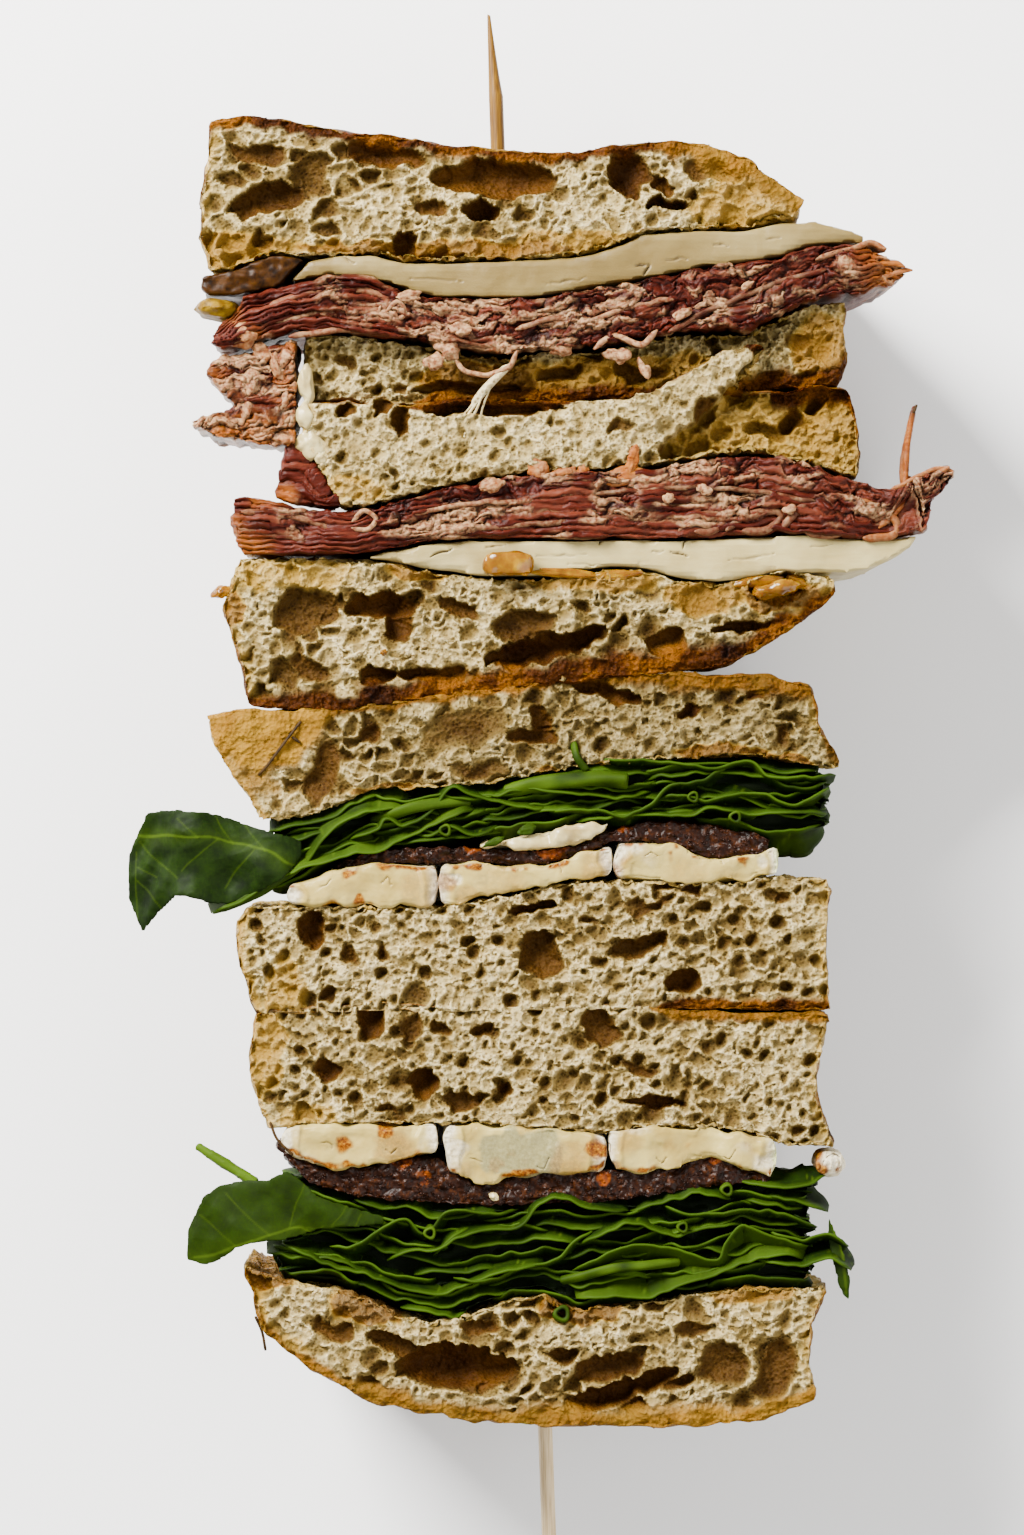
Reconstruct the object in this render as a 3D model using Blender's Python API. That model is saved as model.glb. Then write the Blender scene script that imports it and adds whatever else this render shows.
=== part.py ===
"""A picnic tower: four cut ciabatta sandwiches threaded on one bamboo skewer.

It lies on its back with the cut faces up: +X runs across the layers, +Y up the tower and +Z out of
the cut faces. Every length is in millimetres until mesh_object turns it into metres.
"""

import math

import bpy
import numpy as np
from mathutils import Matrix, Vector

for obj in list(bpy.data.objects):
    bpy.data.objects.remove(obj, do_unlink=True)

MM = 0.001

# The skewer
SKEWER_WIDTH = 2.8
SKEWER_LENGTH = 305.0
SKEWER_TIP_LENGTH = 16.0
SKEWER_TIP_WIDTH = 0.5
SKEWER_LEAN = 0.037  # how far it leans to the left for each millimetre up the tower
SKEWER_MIDDLE_X = -3.7
SKEWER_HEIGHT = 30.0
SKEWER_CLEARANCE = 0.3

# The sandwiches
CUT_FACE = 57.0  # from the lowest crust at the back to the cut crumb
FILLING_BACK = 3.5  # how far the fillings stop short of the back
CORNER_WIDTH = 22.0  # the loaves' round back corners, seen from above
CORNER_DEPTH = 30.0
CRUST_DEPTH = 26.0  # the crust turns in over this much of the depth
CRUST_TURN = 0.55  # and takes away this share of the bread's thickness
FRONT_GAP = 0.5  # between two layers at the cut face, and more at the back, where they gape
BACK_GAP = 1.2
SMOOTH_ANGLE = 35.0  # degrees: edges sharper than this stay crisp
STATION = 6.5  # spacing of the sections along X
END_REACH = 22.0  # how far in from its ends a layer follows their uneven outline
CORNER_REACH = 45.0  # and the turn of its back corners
DEPTH_STEPS = (0.0, 0.08, 0.28, 0.6, 1.0)

# The edges between the layers as they run across the cut faces, from the top of the tower down
EDGES = {
    "crown_1": ((-62.5, 128.5), (-57.5, 129.5), (-48.5, 128.5), (-37.5, 126.5), (-27, 125.5), (-19.5, 124),
                (-8, 123), (0.5, 122), (7.5, 122.5), (16, 124), (24, 125), (31, 124), (37, 122.5),
                (41.5, 120), (45.5, 116.5), (49.5, 112.5)),
    "under_bread_1": ((-65, 98.5), (-57.5, 100), (-50.5, 103.5), (-45, 101.5), (-37.5, 102.5), (-32, 103),
                      (-27, 101), (-8, 101.5), (10.5, 102.5), (16, 105), (18.5, 107), (40.5, 107.5),
                      (47, 109.5), (54, 109.3), (62, 106)),
    "over_ham_1": ((-65, 94.5), (-57.5, 94.5), (-48, 97), (-37.5, 99.5), (-29.5, 97.5), (-23, 94.5),
                   (-0.5, 94.5), (11, 96.5), (30, 100), (45.5, 102), (50, 104.3), (62, 105), (68.5, 101)),
    "under_ham_1": ((-62, 84), (-56, 84), (-50, 88), (-37.5, 88), (-27, 86.5), (-8, 83), (-4, 84.5),
                    (11, 85), (18.5, 86), (22.5, 88), (39.5, 88), (44.5, 90.5), (50, 93.5), (56.5, 95),
                    (60.5, 94), (68.5, 97.5)),
    "over_fold_1": ((-64, 83.2), (-56, 83.2), (-50, 86.5), (-46, 87)),
    "under_fold_1": ((-67, 67.5), (-57, 67), (-50, 65.7), (-44, 66)),
    "under_sandwich_1": ((-45.5, 75), (-27, 74), (3.5, 75), (30, 76), (45.5, 77), (57, 78)),
    "over_ham_2": ((-58, 56.5), (-51.5, 56.5), (-46, 54.5), (-38.5, 53.5), (-27, 56), (-19.5, 58),
                   (-8, 60.5), (3.5, 61.5), (20.5, 62), (30, 64), (38.5, 65), (49, 63.5), (58.5, 60.5),
                   (64.5, 58), (68, 58), (72, 60.5), (77.5, 62.5), (79, 61.5)),
    "under_ham_2": ((-57.5, 45.8), (-42, 45.5), (-35.5, 45.4), (-28, 46.5), (-19.5, 48), (-11.5, 48.5),
                    (30, 48.5), (49, 49.5), (58.5, 49), (64.5, 48), (73, 50)),
    "under_cheese_2": ((-57.5, 45.3), (-42, 45), (-33.5, 44.8), (-27, 44), (-21, 42.5), (-13.5, 41.5),
                       (-0.5, 41), (11, 43), (18.5, 43), (26.5, 41), (34, 40), (43.5, 42), (49, 42.7),
                       (54, 41.3), (58.5, 41.7), (64.5, 43), (73, 48.5)),
    "under_sandwich_2": ((-55, 17.5), (-46, 16.3), (-38.5, 16.3), (-30.5, 17.7), (-11.5, 19.8), (11, 22.6),
                         (18.5, 23.5), (30, 23.7), (36, 24), (39.5, 26.5), (43.5, 29.5), (56.5, 33)),
    "crown_3": ((-64, 14), (-60, 15.5), (-53.5, 16), (-46, 15.3), (-38.5, 15.3), (-29, 17), (-4, 20.2),
                (11, 22.1), (20.5, 23), (41.5, 23), (49, 22.5), (52, 20.5), (57, 18)),
    "under_bread_3": ((-54, -5), (-42, -4.5), (-38, -2), (-34, 0.7), (-15.5, 1), (-8, 2), (-0.5, 3.5),
                      (11, 5.5), (30, 6.5), (37.5, 7.5), (41.5, 6.5), (49, 5.5), (57, 4.5)),
    "under_spinach_3": ((-54, -21), (-46, -16), (-38.5, -12.5), (-27, -10), (-19.5, -9.5), (-4, -8),
                        (3.5, -6), (11, -5), (30, -5), (43.5, -8.5), (49, -8), (56.5, -6.5)),
    "over_tapenade_3": ((-54, -21), (-46, -16), (-38.5, -12.5), (-27, -10), (-12, -10.2), (-0.5, -10.7),
                        (7.5, -9.8), (14, -6), (20, -5), (30, -5), (43.5, -8.5), (49, -8)),
    "under_tapenade_3": ((-48, -17.5), (-38.5, -14.5), (-32.5, -13), (-20, -13.5), (-11.5, -13), (-4, -14),
                         (3.5, -13.5), (11, -9.5), (18.5, -9), (28, -10.5), (33, -13), (37, -15), (39.5, -10.5),
                         (43.5, -10.5)),
    "under_brie_3": ((-56, -20.5), (-48, -21), (-20, -21), (-11.5, -20), (5.5, -16), (37.5, -16.5),
                     (45, -15), (57, -16)),
    "under_sandwich_3": ((-54, -41.5), (-27, -40.5), (-8, -41), (11, -40.5), (30, -41), (57, -41.5)),
    "under_bread_4": ((-52, -64.5), (-46, -63), (-11.5, -63), (11, -65), (18.5, -63.5), (30, -63.5),
                      (41.5, -65), (44.5, -67), (56.5, -67.5)),
    "under_brie_4": ((-52, -66), (-49.5, -67), (-41, -71.5), (-33.5, -71), (-27, -69.5), (-20, -67.5),
                     (-18, -71), (-13.5, -75), (-8, -73), (-0.5, -71.5), (22.5, -71.5), (28, -70.5),
                     (32, -68), (35, -68), (39, -72), (44, -72.5), (57, -72)),
    "under_tapenade_4": ((-52, -71), (-44, -74.5), (-36.5, -76.5), (-23, -78), (-13.5, -78.5), (11, -78),
                         (18.5, -77), (30, -75), (37, -74), (57, -74)),
    "under_spinach_4": ((-57.5, -87.5), (-51.5, -92.5), (-36.5, -94), (-30.5, -97), (-27, -100),
                        (-14.5, -99.5), (-8, -96), (0.5, -94), (3.5, -98), (18.5, -96.5), (41.5, -93),
                        (49, -94), (56.5, -93)),
    "under_sandwich_4": ((-57.5, -93), (-56, -96), (-53, -101.5), (-48, -107.5), (-40, -112), (-32.5, -116),
                         (-23, -118), (-13.5, -119.5), (-0.5, -120.5), (30, -120.5), (37.5, -120),
                         (45.5, -118), (53, -114.5)),
}

# Base colour and roughness of each food
COLOURS = {
    "bread": ((0.74, 0.60, 0.38, 1), 0.85),
    "ham": ((0.46, 0.16, 0.13, 1), 0.45),
    "cheese": ((0.80, 0.72, 0.50, 1), 0.45),
    "brie": ((0.86, 0.80, 0.62, 1), 0.4),
    "spinach": ((0.05, 0.13, 0.02, 1), 0.45),
    "tapenade": ((0.10, 0.03, 0.015, 1), 0.4),
    "cream": ((0.85, 0.82, 0.72, 1), 0.35),
    "pickle": ((0.12, 0.06, 0.02, 1), 0.3),
    "jelly": ((0.70, 0.36, 0.03, 1), 0.15),
    "bamboo": ((0.62, 0.45, 0.18, 1), 0.6),
}


def edge(name):
    """The height y(x) of an edge between two layers, softened a little at its points."""
    xs, ys = np.array(EDGES[name], float).T
    return lambda x: sum(np.interp(x + shift, xs, ys) for shift in (-2.0, 0.0, 2.0)) / 3


def along(values, share):
    """The value at this share of the way along evenly spaced values."""
    return float(np.interp(share, np.linspace(0, 1, len(values)), values))


def stations(start, end):
    """The x values of a layer's sections, the same on every layer so that neighbours fit."""
    inner = [n * STATION for n in range(math.floor(start / STATION) + 1, math.ceil(end / STATION))]
    return [start, *(x for x in inner if start + 0.4 * STATION < x < end - 0.4 * STATION), end]


def half_gap(z):
    """Half the gap between two layers at this depth."""
    return (FRONT_GAP + (BACK_GAP - FRONT_GAP) * (1 - min(z / CUT_FACE, 1))) / 2


def quarter_turn(depth, reach):
    """0 in front of reach, rising round a quarter ellipse to 1 at the very back."""
    q = max(0.0, 1 - depth / reach)
    return 1 - math.sqrt(1 - q * q)


def crumb(x, y):
    """The torn crumb's rise and fall over the cut face, between -1 and 1."""
    return (math.sin(0.41 * x + 0.33 * y) + math.sin(0.67 * y - 0.29 * x + 1.7) + math.sin(0.83 * x + 2.9)) / 3


def sway(x, y, z):
    """The layers wander up and down a little towards the back, where nothing was cut."""
    away = 1 - min(z / CUT_FACE, 1.0)
    return x, y + away * (0.9 * math.sin(0.055 * x + 0.09 * z) + 0.6 * math.sin(0.11 * x - 0.07 * z + 1.3)), z


def material_of(kind):
    material = bpy.data.materials.get(kind)
    if material is None:
        colour, roughness = COLOURS[kind]
        material = bpy.data.materials.new(kind)
        material.use_nodes = True
        shader = material.node_tree.nodes["Principled BSDF"]
        shader.inputs["Base Color"].default_value = colour
        shader.inputs["Roughness"].default_value = roughness
    return material


def mesh_object(name, points, faces, kind):
    mesh = bpy.data.meshes.new(name)
    mesh.from_pydata([Vector(p) * MM for p in points], [], faces)
    mesh.materials.append(material_of(kind))
    obj = bpy.data.objects.new(name, mesh)
    bpy.context.scene.collection.objects.link(obj)
    return obj


def block(name, place, cells, kind):
    """A closed solid: the outer faces of a block of cells, each corner where place(i, j, k) puts it."""
    corners, points, faces = {}, [], []

    def corner(ijk):
        if ijk not in corners:
            corners[ijk] = len(points)
            points.append(place(*ijk))
        return corners[ijk]

    for axis in range(3):
        across, up = (axis + 1) % 3, (axis + 2) % 3
        for level, outward in ((0, False), (cells[axis], True)):
            for p in range(cells[across]):
                for q in range(cells[up]):
                    ring = []
                    for dp, dq in ((0, 0), (1, 0), (1, 1), (0, 1)):
                        ijk = [level] * 3
                        ijk[across], ijk[up] = p + dp, q + dq
                        ring.append(corner(tuple(ijk)))
                    a, b, c, d = ring
                    faces += [(a, b, c), (a, c, d)] if outward else [(a, c, b), (a, d, c)]
    return mesh_object(name, points, faces, kind)


def combine(obj, others, operation):
    """Joins the other shapes to obj, or cuts them out of it, and removes them."""
    if not others:
        return
    group = bpy.data.collections.new("group")
    for other in others:
        group.objects.link(other)
    boolean = obj.modifiers.new("boolean", "BOOLEAN")
    boolean.operation = operation
    boolean.operand_type = "COLLECTION"
    boolean.collection = group
    graph = bpy.context.evaluated_depsgraph_get()
    whole = bpy.data.meshes.new_from_object(obj.evaluated_get(graph))
    obj.modifiers.clear()
    obj.data = whole
    for other in others:
        bpy.data.objects.remove(other, do_unlink=True)
    bpy.data.collections.remove(group)


def lump(name, centre, half, kind, tilt=0.0, cells=(4, 2, 2), squareness=2.4):
    """A rounded lump: a block blown up towards an ellipsoid, turned by tilt degrees in the cut face."""
    turn = Matrix.Rotation(math.radians(tilt), 3, "Z")

    def place(*ijk):
        p = Vector([2 * n / count - 1 for n, count in zip(ijk, cells)])
        size = sum(abs(c) ** squareness for c in p) ** (1 / squareness)
        p *= max(abs(c) for c in p) / size
        return Vector(centre) + turn @ Vector([c * h for c, h in zip(p, half)])

    return block(name, place, cells, kind)


def skewer_x(y):
    return SKEWER_MIDDLE_X - SKEWER_LEAN * y


def rod(name, points, kind, sides):
    """A round rod along points of (x, y, z, radius)."""
    curve = bpy.data.curves.new(name, "CURVE")
    curve.dimensions = "3D"
    curve.bevel_depth = MM
    curve.bevel_resolution = sides // 4 - 1
    curve.use_fill_caps = True
    spline = curve.splines.new("POLY")
    spline.points.add(len(points) - 1)
    for point, (x, y, z, radius) in zip(spline.points, points):
        point.co = (x * MM, y * MM, z * MM, 1)
        point.radius = radius
    curve.materials.append(material_of(kind))
    obj = bpy.data.objects.new(name, curve)
    bpy.context.scene.collection.objects.link(obj)
    return obj


def solid_rod(name, points, kind, sides=8):
    """The same rod as a mesh, to be joined to another solid or cut out of it."""
    guide = rod(name + "_guide", points, kind, sides)
    graph = bpy.context.evaluated_depsgraph_get()
    mesh = bpy.data.meshes.new_from_object(guide.evaluated_get(graph))
    bpy.data.objects.remove(guide, do_unlink=True)
    obj = bpy.data.objects.new(name, mesh)
    bpy.context.scene.collection.objects.link(obj)
    return obj


def skewer():
    top, radius = SKEWER_LENGTH / 2, SKEWER_WIDTH / 2
    shoulder = top - SKEWER_TIP_LENGTH
    tip_x = skewer_x(top) - radius + SKEWER_TIP_WIDTH  # whittled from its right side
    rod("skewer", [(skewer_x(-top), -top, SKEWER_HEIGHT, radius),
                   (skewer_x(shoulder), shoulder, SKEWER_HEIGHT, radius),
                   (tip_x, top, SKEWER_HEIGHT, SKEWER_TIP_WIDTH / 2)], "bamboo", 12)


def skewer_hole():
    reach, radius = SKEWER_LENGTH / 2 - SKEWER_TIP_LENGTH, SKEWER_WIDTH / 2 + SKEWER_CLEARANCE
    ends = [(skewer_x(y), y, SKEWER_HEIGHT, radius) for y in (-reach, reach)]
    return solid_rod("skewer_hole", ends, "bamboo", 12)


def layer(name, kind, upper, lower, left, right, front=CUT_FACE, back=FILLING_BACK, rows=1,
          crust=None, relief=0.8, corner=0.7, held=True, voids=()):
    """One layer between two edges.

    left and right are its ends' x values from the lower edge up to the upper one, crust names the side
    that turns in at the back, held says that the skewer runs through it, and each of voids is a hole in
    the crumb: x, y, half width, half height, depth and tilt.
    """
    above, below = edge(upper), edge(lower)
    start, end = sum(left) / len(left), sum(right) / len(right)
    sections = stations(start, end)
    end_reach, corner_reach = min(END_REACH, (end - start) / 2), min(CORNER_REACH, (end - start) / 2)

    def place(i, j, k):
        v, z = j / rows, back + (front - back) * DEPTH_STEPS[k]
        turn = corner * CORNER_WIDTH * quarter_turn(z, CORNER_DEPTH)
        x = section = sections[i]
        x += max(0, 1 - (section - start) / end_reach) * (along(left, v) - start)
        x += max(0, 1 - (end - section) / end_reach) * (along(right, v) - end)
        x += max(0, 1 - (section - start) / corner_reach) * turn
        x -= max(0, 1 - (end - section) / corner_reach) * turn
        top, bottom = above(x) - half_gap(z), below(x) + half_gap(z)
        turned = CRUST_TURN * quarter_turn(z, CRUST_DEPTH) * (top - bottom)
        if crust == "upper":
            top -= turned
        if crust == "lower":
            bottom += turned
        y = bottom + (top - bottom) * v
        if k == len(DEPTH_STEPS) - 1:
            z += relief * crumb(x, y)
        return sway(x, y, z)

    obj = block(name, place, (len(sections) - 1, rows, len(DEPTH_STEPS) - 1), kind)
    cutters = [lump("void", (x, y, front), (wide, high, deep), kind, tilt)
               for x, y, wide, high, deep, tilt in voids]
    if held:
        cutters.append(skewer_hole())
    combine(obj, cutters, "DIFFERENCE")
    return obj


def bread(name, upper, lower, left, right, crust, **settings):
    settings = {"front": CUT_FACE, "rows": 4, "corner": 1.0, **settings}
    return layer(name, "bread", upper, lower, left, right, back=0.0, crust=crust, **settings)


def leaf(name, upper, lower, left, right, height, cells, thickness=1.0):
    """A thin wavy leaf facing the viewer, between two outline curves, at the height that height(x, y) gives."""
    def place(i, j, k):
        x = left + (right - left) * i / cells[0]
        low, high = (float(np.interp(x, *np.array(side, float).T)) for side in (lower, upper))
        y = low + (high - low) * j / cells[1]
        return x, y, height(x, y) + (k - 0.5) * thickness

    return block(name, place, (*cells, 1), "spinach")


def spinach_heap(name, upper, lower, left, right, leaves, clear_left):
    """Flat leaves pressed together: each leaf's edge stands out all round over a notch beneath it.

    clear_left is where the big leaf hanging out on the left lies in front, so the edges stay back.
    """
    above, below = edge(upper), edge(lower)
    core_front, core_back, stand_out, notch_share = CUT_FACE - 3.0, 6.5, 3.0, 0.3
    sections = stations(left, right)
    last = len(sections) - 1

    def place(i, j, k):
        ply, tip = divmod(j + 1, 2)
        v = min(max((ply - (0 if tip else notch_share)) / leaves, 0), 1)
        x = sections[i]
        out = stand_out * (0.75 + 0.25 * math.sin(0.5 * x + 2.1 * ply)) if tip else 0.0
        front = core_front + (out if x > clear_left else 0)
        z = (core_back - out * 0.8, (core_back + front) / 2, front)[k]
        turn = 0.8 * CORNER_WIDTH * quarter_turn(z, CORNER_DEPTH) * (2 * (x - left) / (right - left) - 1)
        x += (out if i == last else -out if i == 0 else 0) - turn
        high, low = above(x) - half_gap(z), below(x) + half_gap(z)
        wave = 0.3 * math.sin(math.pi * v) / leaves * math.sin(0.23 * x + 1.9 * ply)
        return sway(x, low + (high - low) * (v + wave), z)

    heap = block(name, place, (last, 2 * leaves, 2), "spinach")
    combine(heap, [skewer_hole()], "DIFFERENCE")


def first_sandwich():
    """Ham and a slice of cheese in torn bread, with slices of pickle on the left."""
    bread("bread_1_top", "crown_1", "under_bread_1", (-62.8, -65.3, -64.5, -63.5, -62.8), (49.2, 49.7),
          "upper", voids=((-8.5, 116.5, 12, 3.2, 6, -2), (-29.5, 121, 7.5, 2, 4, -5), (-52, 113, 5, 2.5, 4, 20)))
    layer("pickle_1_long", "pickle", "under_bread_1", "over_ham_1", (-63, -65, -64.5), (-49.5, -45), rows=2,
          back=22.0, relief=0.5, held=False)
    layer("cheese_1", "cheese", "under_bread_1", "over_ham_1", (-48.6, -44), (61.5, 61.5), front=56.5,
          relief=0.3)
    lump("pickle_1_short", (-63, 92.3, 53), (3.6, 1.8, 7), "pickle")
    layer("ham_1", "ham", "over_ham_1", "under_ham_1", (-61.5, -62.5, -61, -57.5, -56.5),
          (60, 69, 71.3, 67.5, 66, 62), front=58.5, rows=4, relief=1.6, corner=1.1)
    layer("ham_1_fold", "ham", "over_fold_1", "under_fold_1", (-62, -67, -58, -60.5, -64, -62.5),
          (-47, -46.5, -46.5), front=58.0, back=34.0, rows=5, relief=1.5, corner=0.0, held=False)
    bread("bread_1_bottom", "under_ham_1", "under_sandwich_1", (-45.5, -45.8, -45.2),
          (57, 58.3, 59.2, 57, 58.5), "lower", front=53.5, rows=3, voids=((-12, 79, 10, 2, 7, 0),))


def second_sandwich():
    """Ham over a thick slice of cheese with fruit jelly; a torn flap of crumb stands up in front."""
    top = bread("bread_2_top", "under_sandwich_1", "over_ham_2", (-37.8, -42, -45.3, -45.5),
                (60.3, 60.8, 60.5, 59.5, 58), "upper", rows=3,
                voids=((45, 71.2, 2.6, 1.8, 4, 20),))

    def flap_corner(i, j, k):
        x = along((16, 26, 34, 42.5), i / 3)
        low, high = along((69, 70, 74, 84), i / 3), along((75, 79, 84, 86), i / 3)
        return x, low + (high - low) * j, along((55.4, 57.6), k)

    combine(top, [block("flap", flap_corner, (3, 1, 1), "bread")], "UNION")
    layer("ham_strand_2", "ham", "under_fold_1", "over_ham_2", (-50.5, -50, -48.7), (-39, -43.3, -46.5),
          front=57.0, back=40.0, rows=3, relief=1.0, corner=0.0, held=False)
    ham = layer("ham_2", "ham", "over_ham_2", "under_ham_2", (-57.3, -58.8, -58.6, -58), (73, 74, 73, 76, 78, 79),
                front=58.5, rows=4, relief=1.6, corner=1.1)
    combine(ham, [solid_rod("shred", [(69.3, 56, 52, 0.9), (69.8, 66, 53, 0.8), (71, 74.3, 54, 0.5)], "ham")],
            "UNION")
    layer("cheese_2", "cheese", "under_ham_2", "under_cheese_2", (-33, -32.5), (70, 71.8), front=57.0,
          relief=0.3)
    lump("jelly_2", (-6.2, 43.7, 59.5), (5.4, 2.6, 1.9), "jelly", cells=(5, 3, 2), squareness=4)
    x, y, wide, high, deep, tilt = jam_pocket = (44.5, 39.1, 6.0, 2.3, 4.5, 12)
    bread("bread_2_bottom", "under_cheese_2", "under_sandwich_2", (-55.5, -57.5, -57.8, -61.5, -59.5, -57.5),
          (44, 49, 54, 56, 56.5, 55.5), "lower", rows=3,
          voids=((-31, 35.5, 6, 3, 6, 0), (7, 29.5, 8, 2.8, 6, 12),
                 (23, 29.5, 3.3, 2.4, 4, 0), (-25, 23.8, 9.5, 1.4, 4, 3), jam_pocket))
    lump("jam_2", (x, y - 0.2, CUT_FACE), (wide - 0.5, high - 0.5, deep - 0.5), "jelly", tilt)


def third_sandwich():
    """Spinach, olive paste and brie; one big leaf hangs out on the left."""
    bread("bread_3_top", "crown_3", "under_bread_3", (-53, -56.5, -60, -62.5, -63.5), (57, 56, 53, 52.3, 51.5),
          "upper", voids=((-41.5, 4.7, 3.8, 4.2, 3, 0),))
    spinach_heap("spinach_3", "under_bread_3", "under_spinach_3", -50.5, 52.5, 6, -40.0)
    leaf("leaf_3", ((-79, -12), (-78.5, -7), (-76, -4), (-70, -2.6), (-62, -3.4), (-55, -5.6), (-46, -8.8)),
         ((-79, -20), (-77, -26.5), (-75.5, -27), (-72, -22), (-69.5, -19.5), (-67, -19.5), (-62, -21),
          (-58, -20.8), (-49, -16), (-46, -11.5)), -79.0, -46.0,
         lambda x, y: 57.2 + 1.2 * math.sin(0.35 * x) + 0.9 * math.sin(0.5 * y + 0.2 * x) - 0.012 * (x + 58) ** 2,
         (10, 4))
    layer("cream_3", "cream", "under_spinach_3", "over_tapenade_3", (-12, -10), (12, 13.5), back=20.0,
          relief=0.5)
    layer("tapenade_3", "tapenade", "over_tapenade_3", "under_tapenade_3", (-40, -38), (43, 43.5), front=56.0)
    brie_ends = ((-48, -20.1), (-19.2, 13.2), (14.2, 44.6))
    for letter, (left, right) in zip("abc", brie_ends):
        layer("brie_3" + letter, "brie", "under_tapenade_3", "under_brie_3", (left + 0.6, left, left + 0.9),
              (right - 0.7, right, right - 0.5), rows=2, relief=0.5, held=letter == "b")
    bread("bread_3_bottom", "under_brie_3", "under_sandwich_3", (-54.5, -56, -58, -58.3, -56),
          (55.3, 54.2, 54.5, 54.6, 54.8), "lower",
          voids=((-43.3, -26, 2.3, 2.9, 5, 15), (-0.3, -30.5, 4, 3.8, 5, 0), (18.7, -28.6, 6.3, 2.1, 4, 20),
                 (27.6, -35.5, 3.7, 1.9, 4, 10)))


def fourth_sandwich():
    """Brie, olive paste and spinach under the tallest bread; a big leaf and a stem stick out on the left."""
    bread("bread_4_top", "under_sandwich_3", "under_bread_4", (-52, -54.3, -56, -56, -54.3),
          (56, 52.5, 52.5, 53.2, 55.2), "upper", rows=3,
          voids=((-32, -44.3, 3.2, 2.2, 5, 0), (11, -46, 4.3, 2.2, 5, -40), (-22, -55.5, 3, 2.8, 5, 0),
                 (-41, -53, 2, 2.9, 4, 40)))
    brie_ends = ((-49, -20.1), (-18.2, 12), (13, 44.2))
    for letter, (left, right) in zip("abc", brie_ends):
        layer("brie_4" + letter, "brie", "under_bread_4", "under_brie_4", (left + 1.2, left, left + 0.4),
              (right - 0.9, right, right - 0.5), rows=2, relief=0.5, held=letter == "b")
    lump("brie_4d", (55, -70.3, 50), (3.2, 2.2, 7), "brie")
    layer("tapenade_4", "tapenade", "under_brie_4", "under_tapenade_4", (-44, -51), (43, 44), front=56.0,
          relief=1.0)
    spinach_heap("spinach_4", "under_tapenade_4", "under_spinach_4", -49.0, 50.0, 7, -25.0)
    leaf("leaf_4", ((-67.3, -83), (-66, -78), (-62, -74.5), (-57, -73.4), (-51, -73.5), (-48.5, -71.5),
                    (-44, -75.5), (-37, -78), (-30, -80)),
         ((-67.3, -88.5), (-65.5, -90), (-62, -88.5), (-57, -85.5), (-47, -84.6), (-44, -83), (-30, -81.5)),
         -67.3, -30.0, lambda x, y: 57.2 + 0.8 * math.sin(0.3 * x + 0.3 * y) - 0.004 * (x + 48) ** 2, (12, 3))
    rod("stem_4", [(-66, -67.3, 50, 0.8), (-61.5, -70, 51, 1.2), (-57.5, -72.3, 52, 1.2)], "spinach", 8)
    leaf("leaf_4_right", ((54.5, -80), (55.5, -81.5), (57.3, -85.5), (59, -92)),
         ((54.5, -84), (55.5, -89.5), (57.3, -94.7), (59, -96)), 54.5, 59.0,
         lambda x, y: 55.0 + 0.6 * math.sin(0.4 * y), (4, 4))
    bread("bread_4_bottom", "under_spinach_4", "under_sandwich_4", (-53, -54.5, -56, -57, -57.5),
          (52.5, 51.5, 50, 52.5, 55), "lower", rows=3,
          voids=((-16.5, -109, 11, 4, 8, -3), (15, -113.2, 11, 2, 6, 18), (44.5, -109.5, 3.6, 6, 3, -25)))


def shade_round():
    """Smooth shading on every solid, with crisp edges kept where a slice was cut."""
    for mesh in bpy.data.meshes:
        mesh.shade_smooth()
        mesh.set_sharp_from_angle(angle=math.radians(SMOOTH_ANGLE))


def centre_on_floor():
    """Moves everything so that the tower lies on z = 0 with its middle over the origin."""
    tower = bpy.data.objects.new("tower", None)
    bpy.context.scene.collection.objects.link(tower)
    graph = bpy.context.evaluated_depsgraph_get()
    points = []
    for obj in list(bpy.context.scene.objects):
        if obj is not tower:
            points += [v.co.copy() for v in obj.evaluated_get(graph).to_mesh().vertices]
            obj.parent = tower
    low, high = np.min(points, axis=0), np.max(points, axis=0)
    tower.location = (-(low[0] + high[0]) / 2, -(low[1] + high[1]) / 2, -low[2])


skewer()
first_sandwich()
second_sandwich()
third_sandwich()
fourth_sandwich()
shade_round()
centre_on_floor()
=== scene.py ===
import itertools
import math

import bmesh
import bpy
import numpy as np
from mathutils import Matrix, Vector


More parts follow.
